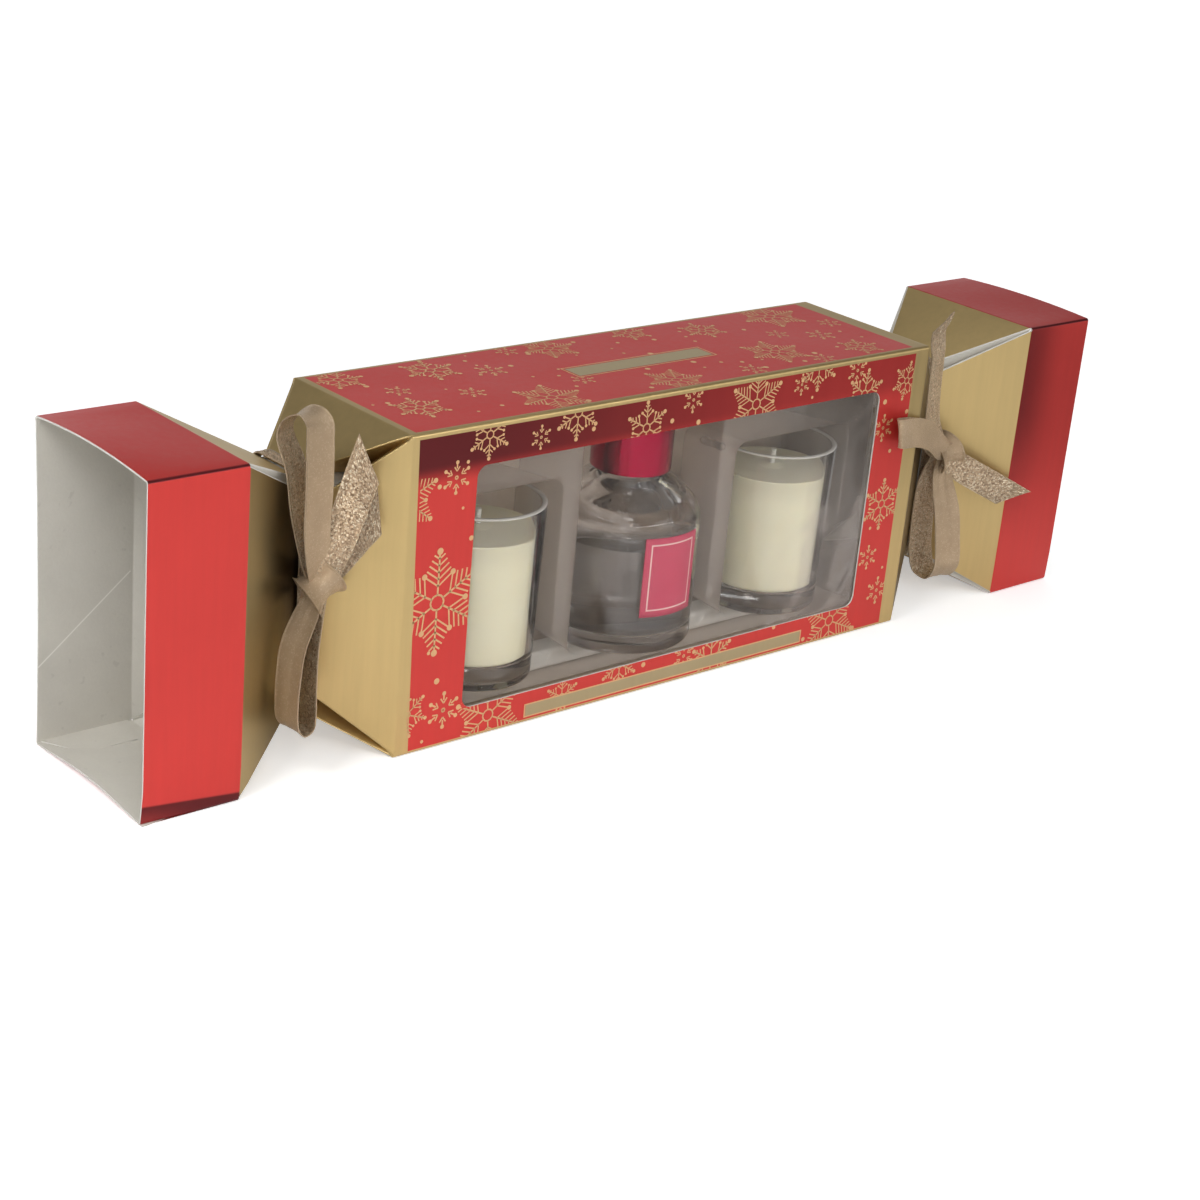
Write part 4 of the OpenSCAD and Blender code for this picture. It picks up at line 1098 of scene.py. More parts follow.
def print_layer(name, big, small, field, holes, plates, dot_count, to_face):
    """A face's whole print: flakes, dots and bare plates, laid on the face by the matrix to_face."""
    ferns, plains = [f for f in big if f[2] > BIG_FLAKE], [f for f in big if f[2] <= BIG_FLAKE]
    spots_of = [ferns, plains, small, dots(field[:2], field[2:], dot_count, big + small)]
    layers = [trimmed(scattered(name + str(kind), kind, spots), name, field, holes + plates)
              for kind, spots in enumerate(spots_of)]
    for box in plates:
        layers += plate(box)
    shape = bmesh.new()
    for layer in layers:
        start = len(shape.faces)
        shape.from_mesh(layer.data)
        shape.faces.ensure_lookup_table()
        for face in shape.faces[start:]:
            face.material_index = int(layer.name.startswith("plate_fill"))
            face.smooth = False
            if face.normal.z < 0:
                face.normal_flip()
        bpy.data.objects.remove(layer)
    bmesh.ops.dissolve_degenerate(shape, dist=1e-7, edges=shape.edges)
    mesh = bpy.data.meshes.new(name)
    shape.to_mesh(mesh)
    shape.free()
    mesh.materials.append(print_gold)
    mesh.materials.append(plate_gold)
    mesh.transform(to_face)
    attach(new_object(name, mesh), "carton")
    print(name, len(mesh.polygons), "faces")


on_front = Matrix(((1, 0, 0, 0), (0, 0, -1, -HALF_D - FOIL_LIFT), (0, 1, 0, 0), (0, 0, 0, 1)))
on_lid = Matrix.Translation((0, 0, body_h + FOIL_LIFT))
on_back = Matrix(((-1, 0, 0, 0), (0, 0, 1, HALF_D + FOIL_LIFT), (0, 1, 0, 0), (0, 0, 0, 1)))
back_big = [(-x, z, r, t) for x, z, r, t in FRONT_BIG] + [
    (-70, 60, 16, 90), (-25, 72, 14, 95), (20, 48, 17, 88),
    (66, 66, 15, 92), (-45, 34, 12, 90), (45, 30, 10, 90)]
back_small = [(-x, z, r, t) for x, z, r, t in FRONT_SMALL] + [
    (0, 30, 5, 90), (-52, 84, 5, 90), (44, 82, 5, 90), (-88, 40, 4, 90)]
print_layer("front_print", FRONT_BIG, FRONT_SMALL, FRONT_FIELD, [WINDOW_MM], [PLATE_FRONT], 90, on_front)
print_layer("lid_print", LID_BIG, LID_SMALL, LID_FIELD, [], [PLATE_LID], 46, on_lid)
print_layer("back_print", back_big, back_small, BACK_FIELD, [], [], 120, on_back)
for kind in flake_kinds:
    bpy.data.objects.remove(kind)

# %% [markdown]
# ## Clear film and tray
# Thin clear sheets hardly bend light, so they need no refraction: what shows is their gloss. A
# mirror shader that is nearly transparent from the front and turns opaque toward a grazing view
# does that, and it lets light and shadow through without noise.

# %% Clear sheet materials
def clear_sheet(name, haze, edge, roughness, wave_scale, wave_height, tint, metallic):
    material, tree, shader = new_material(name, tint, metallic=metallic, roughness=roughness)
    normal = bump(noise(object_place(tree), wave_scale, 2, 0.4), wave_height, 0.6)
    grazing = add(tree, "ShaderNodeLayerWeight", None, {"Blend": 0.22, "Normal": normal})["Fresnel"]
    wire(shader, normal=normal, alpha=haze + grazing * edge)
    return material


# Painted light: both sheets are tinted warm brown, and the tray's haze, partly its real milkiness, is raised
# to brighten the dim inside.
film_clear = clear_sheet("film_clear", 0.0, 0.42, 0.05, 30, 0.0012, (0.86, 0.79, 0.74), 0.8)
tray_clear = clear_sheet("tray_clear", 0.16, 0.75, 0.10, 55, 0.0009, (0.92, 0.83, 0.75), 0.4)


def refinish(node, material):
    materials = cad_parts[node].data.materials
    materials.clear()
    materials.append(material)


refinish("window_film", film_clear)

# %% [markdown]
# The tray is one sheet that a mould has drawn into three pockets. Every pocket edge is rounded,
# which is what catches the light, so each pocket is a stack of rounded outlines from the flange
# in to its floor, and the flange is the flat face that is left between them. Four low ribs
# stiffen the floor behind the bottle.

# %% Tray
tray_low, tray_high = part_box("blister_tray")
flange_y = tray_low.y
tray_x = (tray_low.x + tray_high.x) / 2
CANDLE_PITCH, POCKET_LOW, POCKET_R = 69 * MM, 10 * MM, 5 * MM
candle_high, bottle_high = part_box("left_candle_glass")[1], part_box("diffuser_bottle")[1]
cap_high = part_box("cap_shell")[1]
LIP, DRAFT, FLOOR_R, CLEARANCE = 1.6 * MM, 2.5 * MM, 3 * MM, 0.3 * MM
bottle_floor = bottle_high.y + CLEARANCE
candle_pocket = (28.5 * MM, candle_high.z + 4.5 * MM, candle_high.y + CLEARANCE)
pockets = [(tray_x - CANDLE_PITCH, *candle_pocket), (tray_x, 32.3 * MM, cap_high.z + 5.8 * MM, bottle_floor),
           (tray_x + CANDLE_PITCH, *candle_pocket)]
RIB_R, RIB_HALF, RIB_HEIGHTS, RIB_ARC = 1.3 * MM, 15 * MM, (17, 24, 31, 38), 7
SKIRT_STEPS = [(1.5, 0), (0.75, 0.2), (0.2, 0.75), (0, 1.5), (0, 20)]  # inset and depth in mm


def sheet_ring(x0, z0, x1, z1, radius, y):
    return [np.array((x, y, z)) for x, z in rounded_outline(x0, z0, x1, z1, radius, 8)]


def pocket_rings(x, half, top, back):
    """Rings from the flange round the lip, down the drafted wall, and round the floor's edge."""
    depth, turn = back - flange_y, np.radians([30, 60, 90])
    profile = [(-LIP, 0)] + [(-LIP + LIP * math.sin(a), LIP * (1 - math.cos(a))) for a in turn]
    profile += [(DRAFT * t, LIP + (depth - FLOOR_R - 0.5 * MM - LIP) * t) for t in (0.33, 0.66, 1)]
    profile += [(DRAFT + FLOOR_R * (1 - math.cos(a)), depth - FLOOR_R * (1 - math.sin(a))) for a in turn]
    return [sheet_ring(x - half + inset, POCKET_LOW + inset * 0.1, x + half - inset, top - inset,
                       POCKET_R, flange_y + y) for inset, y in profile]


verts, faces, flange_loops = [], [], []
for spec in pockets:
    rings = pocket_rings(*spec)
    count = len(rings[0])
    flange_loops.append(range(len(verts), len(verts) + count))
    faces += ring_faces(len(rings), count, start=len(verts))
    verts += sum(rings, [])
    faces.append(range(len(verts) - count, len(verts)))
for z in RIB_HEIGHTS:
    start = len(verts)
    verts += [(x, bottle_floor + RIB_R * math.sin(a), z * MM + RIB_R * math.cos(a))
              for x in (tray_x - RIB_HALF, tray_x + RIB_HALF) for a in np.linspace(0, math.pi, RIB_ARC)]
    faces += ring_faces(2, RIB_ARC, closed=False, start=start)
    faces += [range(start, start + RIB_ARC), range(start + RIB_ARC, start + 2 * RIB_ARC)[::-1]]
skirt_steps = [(inset * MM, depth * MM) for inset, depth in SKIRT_STEPS] + [(0, tray_high.y - flange_y)]
skirt = [sheet_ring(tray_low.x + d, tray_low.z + d, tray_high.x - d, tray_high.z - d,
                    6 * MM - d, flange_y + y) for d, y in skirt_steps]
flange_loops.append(range(len(verts), len(verts) + len(skirt[0])))
faces += [face[::-1] for face in ring_faces(len(skirt), len(skirt[0]), start=len(verts))]
verts += sum(skirt, [])
tray_piece = new_piece("clear_tray", verts, faces, [tray_clear])
with edited(tray_piece.data) as shape:
    shape.verts.ensure_lookup_table()
    edges = [shape.edges.get((shape.verts[a], shape.verts[b]))
             for loop in flange_loops for a, b in zip(loop, [*loop[1:], loop[0]])]
    bmesh.ops.triangle_fill(shape, edges=edges, use_beauty=True, use_dissolve=False)
    bmesh.ops.recalc_face_normals(shape, faces=shape.faces)
tray_piece.data.polygons.foreach_set("use_smooth", [True] * len(tray_piece.data.polygons))
sharpened(tray_piece, 45)
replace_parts(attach(tray_piece, "carton"), "blister_tray")
print("tray faces:", len(tray_piece.data.polygons))

# %% [markdown]
# ## Candles, bottle and cap
# These are turned shapes: a half profile with rounded corners, spun round its axis. The glass
# is real glass with two surfaces, and for shadow rays it is simply clear, so that the wax and
# the label behind it are lit without the noise of caustics. A ray that has passed five glass
# surfaces goes on straight too, or the bottle's thick base would end up dark and grainy.

# %% Turned pieces
def rounded_profile(points, steps=5):
    """points: (radius, height, corner) in millimetres; a corner over 0 is rolled by that radius."""
    out = []
    for i, (r, z, corner) in enumerate(points):
        p = np.array([r, z])
        if corner <= 0 or i in (0, len(points) - 1):
            out.append(p)
            continue
        before, after = np.array(points[i - 1][:2]), np.array(points[i + 1][:2])
        to_b, to_a = unit(before - p), unit(after - p)
        half = math.acos(max(-1, min(1, to_b @ to_a))) / 2
        shorter_side = min(np.linalg.norm(before - p), np.linalg.norm(after - p))
        reach = min(corner / math.tan(half), 0.48 * shorter_side)
        out += [bend(p + to_b * reach, p, p + to_a * reach, k / steps) for k in range(steps + 1)]
    return out


def measured(node):
    """The middle of a round node's foot in metres, and its radius and height in millimetres."""
    low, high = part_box(node)
    foot = ((low.x + high.x) / 2, (low.y + high.y) / 2, low.z)
    return foot, (high.x - low.x) / 2 / MM, (high.z - low.z) / MM


def turned_piece(name, points, centre, material, body_name, replaced, segments=96):
    verts, faces, rows = [], [], []
    for r, z in rounded_profile(points):
        count = 1 if r < 1e-6 else segments
        rows.append(range(len(verts), len(verts) + count))
        for k in range(count):
            a = 2 * math.pi * k / segments
            x, y = centre[0] + r * MM * math.cos(a), centre[1] + r * MM * math.sin(a)
            verts.append((x, y, centre[2] + z * MM))
    for a, b in zip(rows, rows[1:]):
        for k in range(segments):
            quad = [a[k % len(a)], a[(k + 1) % len(a)], b[(k + 1) % len(b)], b[k % len(b)]]
            faces.append(dict.fromkeys(quad))
    piece = sharpened(tidy_mesh(new_piece(name, verts, faces, [material])), 35)
    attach(piece, body_name)
    if replaced:
        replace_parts(piece, replaced)
    return piece


# %% Glass, liquid and wax
def glass_material(name, tint, ior):
    material, tree, shader = new_material(name, tint, roughness=0.0, transmission_weight=1.0, ior=ior)
    path = add(tree, "ShaderNodeLightPath")
    straight = larger(path["Is Shadow Ray"], path["Transmission Depth"] > 4.5)
    clear = add(tree, "ShaderNodeBsdfTransparent", None, {"Color": (*[0.5 + c / 2 for c in tint], 1)})
    both = add(tree, "ShaderNodeMixShader", None, {0: straight, 1: Value(shader.outputs[0]), 2: clear[0]})
    put(tree.nodes["Material Output"].inputs["Surface"], both[0])
    return material


clear_glass = glass_material("clear_glass", (0.97, 0.975, 0.97), 1.5)
rim_highlight_glass, tree, shader = new_material(
    "rim_highlight_glass", (0.93, 0.90, 0.84), roughness=0.12, transmission_weight=0.45, ior=1.5)
bottle_glass = glass_material("bottle_glass", (0.985, 0.98, 0.975), 1.48)
perfume_liquid = glass_material("perfume_liquid", (0.99, 0.975, 0.96), 1.36)

candle_wax, tree, shader = new_material(
    "candle_wax", (0.73, 0.68, 0.48), roughness=0.5, subsurface_weight=0.35, subsurface_scale=0.004,
    subsurface_radius=(1.0, 0.8, 0.5), coat_weight=0.15, coat_roughness=0.3)
place = object_place(tree)
cloud = noise(place, 60, 4, 0.6)
wax_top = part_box("left_candle_wax")[1].z
# Painted shade: over its top 11 mm the wax is mixed toward a darker brown.
wax_top_shade = ramp(axes(place)["Z"], wax_top - 11 * MM, wax_top - 1 * MM)
wax = mix_colour(cloud, (0.70, 0.64, 0.43), (0.77, 0.715, 0.53))
wire(shader, base_color=mix_colour(wax_top_shade * 0.45, wax, (0.54, 0.49, 0.34)), normal=bump(cloud, 0.0004, 0.4))

# %% Candles
FOOT_R, GLASS_WALL, RIM_GLOW = 21.5, 2.0, 0.75  # in mm, as in the profiles
for side in ("left", "right"):
    centre, rim, tall = measured(side + "_candle_glass")
    inner, slope = FOOT_R - GLASS_WALL, (rim - FOOT_R) / tall
    glass = turned_piece(side + "_glass", [
        (0, 0.9, 0), (13, 0.9, 2), (16.5, 0, 1.5), (FOOT_R, 0, 2.2), (rim, tall, 0.95),
        (rim - GLASS_WALL, tall, 0.95), (inner + 0.25, 8, 2.5), (0, 8.4, 0)],
        centre, clear_glass, "carton", side + "_candle_glass", 112)
    # Painted highlight: the top of the rim is a paler, half-clear glass, for the light that enters the wall
    # anywhere and leaves it at the polished rim as a pale line.
    glass.data.materials.append(rim_highlight_glass)
    rim_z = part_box(side + "_candle_glass")[1].z - RIM_GLOW * MM
    for face in glass.data.polygons:
        face.material_index = int(face.center.z > rim_z)
    base, top = ((corner.z - centre[2]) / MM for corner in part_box(side + "_candle_wax"))
    turned_piece(side + "_wax", [
        (1.15, base + 0.6, 0), (7.6, base + 0.6, 0.2), (7.9, base + 0.2, 0.2),
        (inner - 0.1, base + 0.15, 2.4), (inner - 0.1 + slope * top, top, 0.5),
        (inner - 3 + slope * top, top - 0.6, 2), (5, top - 1.1, 3), (1.15, top - 0.4, 0)],
        centre, candle_wax, "carton", side + "_candle_wax", 96)
    print(side, "candle stands at", [round(c, 4) for c in centre])

wick_cotton, tree, shader = new_material("wick_cotton", (0.86, 0.84, 0.76), roughness=0.8)
braid = add(tree, "ShaderNodeTexWave", {"wave_type": "BANDS", "bands_direction": "DIAGONAL"}, {
    "Vector": object_place(tree), "Scale": 900.0, "Distortion": 1.5})[1]
wire(shader, base_color=mix_colour(braid, (0.70, 0.68, 0.58), (0.90, 0.88, 0.80)),
     normal=bump(braid, 0.0003, 0.8))
pressed_tin, tree, shader = new_material("pressed_tin", (0.70, 0.70, 0.71), metallic=1.0, roughness=0.34)
scratch = noise(stretched(object_place(tree), (900, 90, 300)), 1.0, 3, 0.6)
wire(shader, roughness=ramp(scratch, 0.3, 0.7, 0.25, 0.42), normal=bump(scratch, 0.0001, 0.5))
for side in ("left", "right"):
    refinish(side + "_candle_wick", wick_cotton)
    refinish(side + "_wick_sustainer", pressed_tin)

# %% [markdown]
# The bottle's wall and its oil share one surface: the liquid reaches a hair into the glass, so
# no thin layer of air lies between them to act as a mirror.

# %% Bottle and oil
bottle_centre, bottle_r, _ = measured("diffuser_bottle")
SHOULDER, NECK, NECK_TOP, NECK_R = 50, 61, 74, 11  # heights and a radius, in mm
NECK_BORE, INNER_R, OIL_R = NECK_R - 2.4, bottle_r - 2.6, bottle_r - 2.55
turned_piece("bottle", [
    (0, 1.6, 0), (15, 1.4, 4), (20, 0, 2), (bottle_r, 0, 3), (bottle_r, SHOULDER, 14),
    (NECK_R + 6, NECK - 2.4, 9), (NECK_R, NECK - 0.6, 1.6), (NECK_R, NECK_TOP, 0.6),
    (NECK_BORE, NECK_TOP, 0.4), (NECK_BORE, NECK - 2, 1.6),
    (bottle_r - 9.5, SHOULDER - 0.6, 4), (INNER_R, SHOULDER - 5.2, 9), (INNER_R, 6, 3.5), (0, 6.4, 0)],
    bottle_centre, bottle_glass, "carton", "diffuser_bottle", 128)
oil_top = (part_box("perfume_oil")[1].z - bottle_centre[2]) / MM
turned_piece("oil", [
    (0, 6.35, 0), (OIL_R, 5.95, 3.5), (OIL_R, oil_top, 0.0), (bottle_r - 3.6, oil_top - 0.35, 0.8),
    (0, oil_top - 0.4, 0)], bottle_centre, perfume_liquid, "carton", "perfume_oil", 128)

# %% Cap, stopper, seal and insert
CAP_WALL = 1.2  # in mm
cap_magenta, tree, shader = new_material("cap_magenta", (0.62, 0.010, 0.085), metallic=1.0, roughness=0.13)
turning = noise(stretched(object_place(tree), (6, 6, 1500)), 1.0, 3, 0.6)
wire(shader, roughness=ramp(turning, 0.3, 0.7, 0.10, 0.17),
     base_color=mix_colour(turning, (0.37, 0.002, 0.032), (0.47, 0.004, 0.050)))
cap_centre, cap_r, cap_h = measured("cap_shell")
cap_outer = turned_piece("cap", [
    (cap_r - CAP_WALL, 0.15, 0), (cap_r - 0.6, 0, 0.3), (cap_r, 0, 0.35), (cap_r, cap_h, 1.1), (0, cap_h, 0)],
    cap_centre, cap_magenta, "cap", None, 128)
cap_inside = turned_piece("cap_inside", [
    (cap_r - CAP_WALL, 0.15, 0), (cap_r - CAP_WALL, cap_h - CAP_WALL, 0.4), (0, cap_h - CAP_WALL, 0)],
    cap_centre, cap_magenta, "cap", None, 96)
cap_inside.data.flip_normals()
cap_whole = sharpened(tidy_mesh(joined("cap_bright_shell", [cap_outer, cap_inside])), 40)
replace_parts(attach(cap_whole, "cap"), "cap_shell")


def moulded(name, base, roughness, grain):
    material, tree, shader = new_material(name, base, roughness=roughness)
    speckle = noise(object_place(tree), grain, 3, 0.6)
    wire(shader, roughness=ramp(speckle, 0.3, 0.7, roughness - 0.06, roughness + 0.08),
         normal=bump(speckle, 0.00008, 0.6))
    return material


refinish("bottle_stopper", moulded("stopper_plastic", (0.85, 0.85, 0.83), 0.45, 400))
refinish("cap_seal", moulded("seal_foam", (0.86, 0.86, 0.84), 0.85, 1800))
refinish("cap_insert", moulded("insert_plastic", (0.88, 0.88, 0.88), 0.4, 500))

# %% [markdown]
# ## Label
# The label is a printed paper sheet with a thin pale line inside its edge. Its middle stays
# bare. The line is drawn from the label's own UV map, which runs from edge to edge.

# %% Label
low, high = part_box("bottle_label")
LABEL_T = 0.12 * MM
label_r = bottle_high.x - bottle_centre[0] + LABEL_T
label_w, label_h = 24 * MM, high.z - low.z
COLS, ROWS = 40, 12
verts, uvs = [], []
for v in (j / ROWS for j in range(ROWS + 1)):
    for u in (i / COLS for i in range(COLS + 1)):
        a = -math.pi / 2 + (u - 0.5) * label_w / label_r
        r = label_r + LABEL_T * (abs(u - 0.5) * 2) ** 8
        x, y, _ = bottle_centre
        verts.append((x + r * math.cos(a), y + r * math.sin(a), low.z + label_h * v))
        uvs.append((u, v))
label_print, tree, shader = new_material(
    "label_print", (0.58, 0.05, 0.10), roughness=0.5, specular_ior_level=0.4)
across = axes(add(tree, "ShaderNodeUVMap", {"uv_map": "label"})[0])
from_side = (0.5 - abs(across["X"] - 0.5)) * label_w
from_end = (0.5 - abs(across["Y"] - 0.5)) * label_h
line = ramp(abs(smaller(from_side, from_end) - 2.6 * MM), 0.24 * MM, 0.30 * MM, 1.0, 0.0)
fibre = use_group(fibre_group, object_place(tree), Scale=1.5)
pink = mix_colour(fibre["Tint"], (0.50, 0.035, 0.085), (0.66, 0.075, 0.14))
wire(shader, base_color=mix_colour(line, pink, (0.80, 0.55, 0.50)),
     normal=bump(fibre["Height"], 0.00005, 0.5))
label = new_piece("label_sheet", verts, ring_faces(ROWS + 1, COLS + 1, closed=False), [label_print])
set_uv(label, "label", uvs)
modified(label, "SOLIDIFY", thickness=LABEL_T, offset=1)
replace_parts(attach(label, "carton"), "bottle_label")

# %% Reeds and their wrap
reed_cane, tree, shader = new_material("reed_cane", (0.72, 0.55, 0.32), roughness=0.7)
grain = noise(stretched(object_place(tree), (12, 900, 900)), 1.0, 4, 0.6)
wire(shader, base_color=mix_colour(grain, (0.50, 0.35, 0.18), (0.80, 0.66, 0.42)),
     normal=bump(grain, 0.0002, 0.7))
refinish("diffuser_reeds", reed_cane)
refinish("reed_wrap", board_material("wrap_paper", (0.80, 0.77, 0.70), (0.90, 0.88, 0.82), 1.6))

# %% [markdown]
# ## Ribbon
# The ribbon is a taupe satin with metal thread in its weave: soft sheen, and many tiny bright
# points. The weave follows the ribbon, so the material reads the strip's own UV map: U runs
# across it and V along it, both counted in ribbon widths. One side is worked with metal thread
# and glitters, and the other is plain satin: there U lies between 2 and 3.

# %% Ribbon material
RIBBON_W = 11 * MM
ribbon_satin, tree, shader = new_material(
    "ribbon_satin", (0.26, 0.17, 0.11), metallic=0.7, roughness=0.36, sheen_weight=0.15, sheen_roughness=0.35,
    sheen_tint=(1.0, 0.85, 0.65, 1))
run = axes(add(tree, "ShaderNodeUVMap", {"uv_map": "ribbon"})[0])
plain_side = run["X"] > 1.5
across = run["X"] - plain_side * 2.0
place = add(tree, "ShaderNodeCombineXYZ", None, {"X": across, "Y": run["Y"], "Z": plain_side})[0]
threads = stretched(place, (RIBBON_W / MM, RIBBON_W / MM, 7))
weft, rib = (add(tree, "ShaderNodeTexWave", {"wave_type": "BANDS", "bands_direction": way}, {
    "Vector": threads, "Scale": scale, "Distortion": distortion, "Detail": 1.0})[1]
    for way, scale, distortion in (("Y", 1.4, 0.8), ("X", 0.9, 0.6)))
glint_cells = add(tree, "ShaderNodeTexVoronoi", None, {"Vector": threads, "Scale": 1.7})
glint_pick = add(tree, "ShaderNodeSeparateColor", None, {0: glint_cells["Color"]})
# Bright cells of metal thread: partly the thread's own pale gold, partly painted glints, as their bright base
# colour stands in for sparkle.
glints = ramp(glint_pick[0], 0.38, 0.88) * ramp(glint_cells["Distance"], 0.30, 0.62, 1.0, 0.0)
glints = glints * (1.0 - plain_side * 0.86)
selvedge = ramp(abs(across - 0.5), 0.445, 0.465)
satin = mix_colour(noise(place, 1.6, 2, 0.5), (0.41, 0.295, 0.185), (0.54, 0.40, 0.26))
worked = mix_colour(glint_pick[2], (0.27, 0.185, 0.115), (0.56, 0.41, 0.265))
cloth = mix_colour(selvedge * 0.5, mix_colour(plain_side, worked, satin), (0.52, 0.39, 0.25))
height = weft * 0.5 + rib * 0.4 + (selvedge * 1.4 + (1.0 - plain_side) * glint_pick[1])
wire(shader, base_color=mix_colour(glints, cloth, (1.0, 0.85, 0.62)), metallic=0.66 - glints * 0.16,
     roughness=0.33 - glints * 0.10, normal=bump(height, 0.00016, 0.7))

# %% [markdown]
# A strip follows a few points through a smooth curve, and at each point a vector says which way
# its width lies. The strip gets a slight hollow across, small creases that fade away from the
# knot, a thin closed section, and a woven edge that is a little thicker.

# %% Ribbon strips
STRIP_T = 0.32 * MM
ACROSS = 12
EDGE_SWELL = 1.5
STUDIO_SIDE = np.array([-0.45, -0.75, 0.5])  # toward the camera


def through(points, t):
    """A point of a smooth curve through the points, at t from 0 to len(points) - 1."""
    i = min(int(t), len(points) - 2)
    a, b, c, d = (points[max(0, min(len(points) - 1, i + k))] for k in (-1, 0, 1, 2))
    t -= i
    square, cube = 2 * a - 5 * b + 4 * c - d, 3 * b - a - 3 * c + d
    return 0.5 * (2 * b + (c - a) * t + square * t * t + cube * t ** 3)


def looped(faces, count):
    """Joins the last ring to the first."""
    return [tuple(i % count for i in face) for face in faces]


def strip(route, origin, steps=9, lean=0.0, hollow=0.03, crease=0.04, seed=1, closed=False, glitter=1):
    """Vertices, faces, UVs and length of one strip. A route's rows hold a place and a width vector, in
    ribbon widths; lean slants the cut end. glitter says whether the side that faces the front at the
    strip's middle (1) or the other one (-1) is the glitter side."""
    places, widths = np.hsplit(np.array(route, float), 2)
    places = places * RIBBON_W
    count = (len(route) - 1) * steps + (0 if closed else 1)
    line = [through(places, k / steps) for k in range(count)]
    random = np.random.default_rng(seed)
    waves = [(random.uniform(1.5, 4), random.uniform(0, 6.28), random.uniform(-0.8, 0.8)) for _ in range(3)]
    half_way = 0 if closed else count // 2
    along = unit(line[half_way + 1] - line[half_way - 1])
    facing = np.cross(along, through(widths, half_way / steps)) @ STUDIO_SIDE
    offsets = (0, 2) if facing * glitter > 0 else (2, 0)
    verts, uvs, run = [], [], 0.0
    for k in range(count):
        ahead = line[(k + 1) % count if closed else min(k + 1, count - 1)]
        tangent = unit(ahead - line[k - 1 if closed or k else 0])
        wide = through(widths, k / steps)
        way = unit(wide - (wide @ tangent) * tangent)
        out = np.cross(tangent, way)
        share, size = k / max(count - 1, 1), np.linalg.norm(wide)
        gather = max(0.0, 1 - size) * 2.2 + 0.25
        neck_shade = 0.0 if closed else max(0.0, 1 - np.linalg.norm(line[-1] - line[k]) / (1.5 * RIBBON_W))
        run += np.linalg.norm(line[k] - line[k - 1]) if k else 0.0
        row = []
        for j in range(ACROSS + 1):
            u = -1 + 2 * j / ACROSS
            fold = sum(math.sin(f * u * 3 + p + s * share * 6) for f, p, s in waves) / 3
            lift = (hollow * (u * u - 0.4) + crease * gather * fold) * RIBBON_W
            end_lean = lean * u * RIBBON_W * 0.5 * neck_shade
            row.append((j, line[k] + way * u * size * RIBBON_W / 2 + out * lift + tangent * end_lean))
        for side, offset, points in ((1, offsets[0], row), (-1, offsets[1], row[::-1])):
            for j, p in points:
                verts.append(p + side * out * STRIP_T / 2 * (EDGE_SWELL if j in (0, ACROSS) else 1))
                uvs.append((offset + j / ACROSS, run / RIBBON_W))
    columns = 2 * (ACROSS + 1)
    if closed:
        faces = looped(ring_faces(count + 1, columns), count * columns)
    else:
        faces = ring_faces(count, columns)
        for start in (0, (count - 1) * columns):
            for j in range(ACROSS):
                quad = (start + j, start + j + 1, start + columns - 2 - j, start + columns - 1 - j)
                faces.append(quad[::-1] if start == 0 else quad)
    return [v + np.array(origin) for v in verts], faces, uvs, run


def ribbon_piece(name, strips):
    verts, faces, uvs, length = [], [], [], 0.0
    for v, f, uv, run in strips:
        faces += [tuple(i + len(verts) for i in face) for face in f]
        verts += v
        uvs += uv
        length += run
    piece = new_piece(name, verts, faces, [ribbon_satin])
    set_uv(piece, "ribbon", uvs)
    sharpened(tidy_mesh(piece, 1e-7), 75)
    print(name, "ribbon length", round(length, 4), "faces", len(piece.data.polygons))
    return piece, length


# %% The bows' routes, as in the solid model
UPPER_LOOP = [
    (-0.05, -0.05, 0.15, 0.6, 0.1, 0), (-0.25, 0.02, 0.8, 0.7, 0.15, 0), (-0.44, 0.05, 1.5, 0.75, 0.15, 0),
    (-0.6, 0.15, 2.5, 0.85, 0.2, 0), (-0.71, 0.25, 3.56, 0.9, 0.25, 0), (-1.0, 0.45, 4.55, 0.87, 0.42, 0),
    (-0.9, 0.32, 5.04, 0.92, 0.35, 0), (-0.6, 0.03, 5.22, 0.97, 0.2, 0), (-0.38, -0.3, 4.98, 1, 0.05, 0),
    (-0.42, -0.45, 4.4, 1, 0, 0), (-0.39, -0.46, 3.06, 1, 0, 0), (-0.38, -0.42, 1.92, 0.95, 0, 0),
    (-0.2, -0.3, 0.9, 0.85, 0, 0), (-0.03, -0.18, 0.15, 0.65, 0, 0)]
LEFT_LOWER = [
    (-0.15, -0.2, -0.15, 0.25, -0.5, 0), (-0.6, -0.36, -0.62, 0.25, -0.85, 0),
    (-1.13, -0.52, -1.37, 0.2, -0.97, 0), (-1.34, -0.64, -2.12, 0.15, -1, 0),
    (-1.42, -0.7, -2.92, 0.12, -1, 0), (-1.36, -0.7, -3.6, 0.1, -1, 0), (-1.04, -0.64, -3.92, 0.05, -1, 0),
    (-0.62, -0.54, -3.75, 0, -1, 0), (-0.6, -0.52, -2.8, 0, -1, 0), (-0.55, -0.47, -1.78, 0, -0.97, 0),
    (-0.38, -0.35, -1.1, 0.05, -0.85, 0), (0.05, -0.12, -0.15, 0.15, -0.5, 0)]
LEFT_FRONT_TAIL = [
    (0.02, -0.3, 0.1, 0.6, -0.3, -0.1), (0.2, -0.42, 0.8, 0.72, -0.5, -0.2),
    (0.39, -0.55, 1.55, 0.66, -0.7, -0.24), (0.735, -0.8, 2.97, 0.64, -0.73, -0.25),
    (0.98, -0.95, 3.91, 0.64, -0.73, -0.25)]
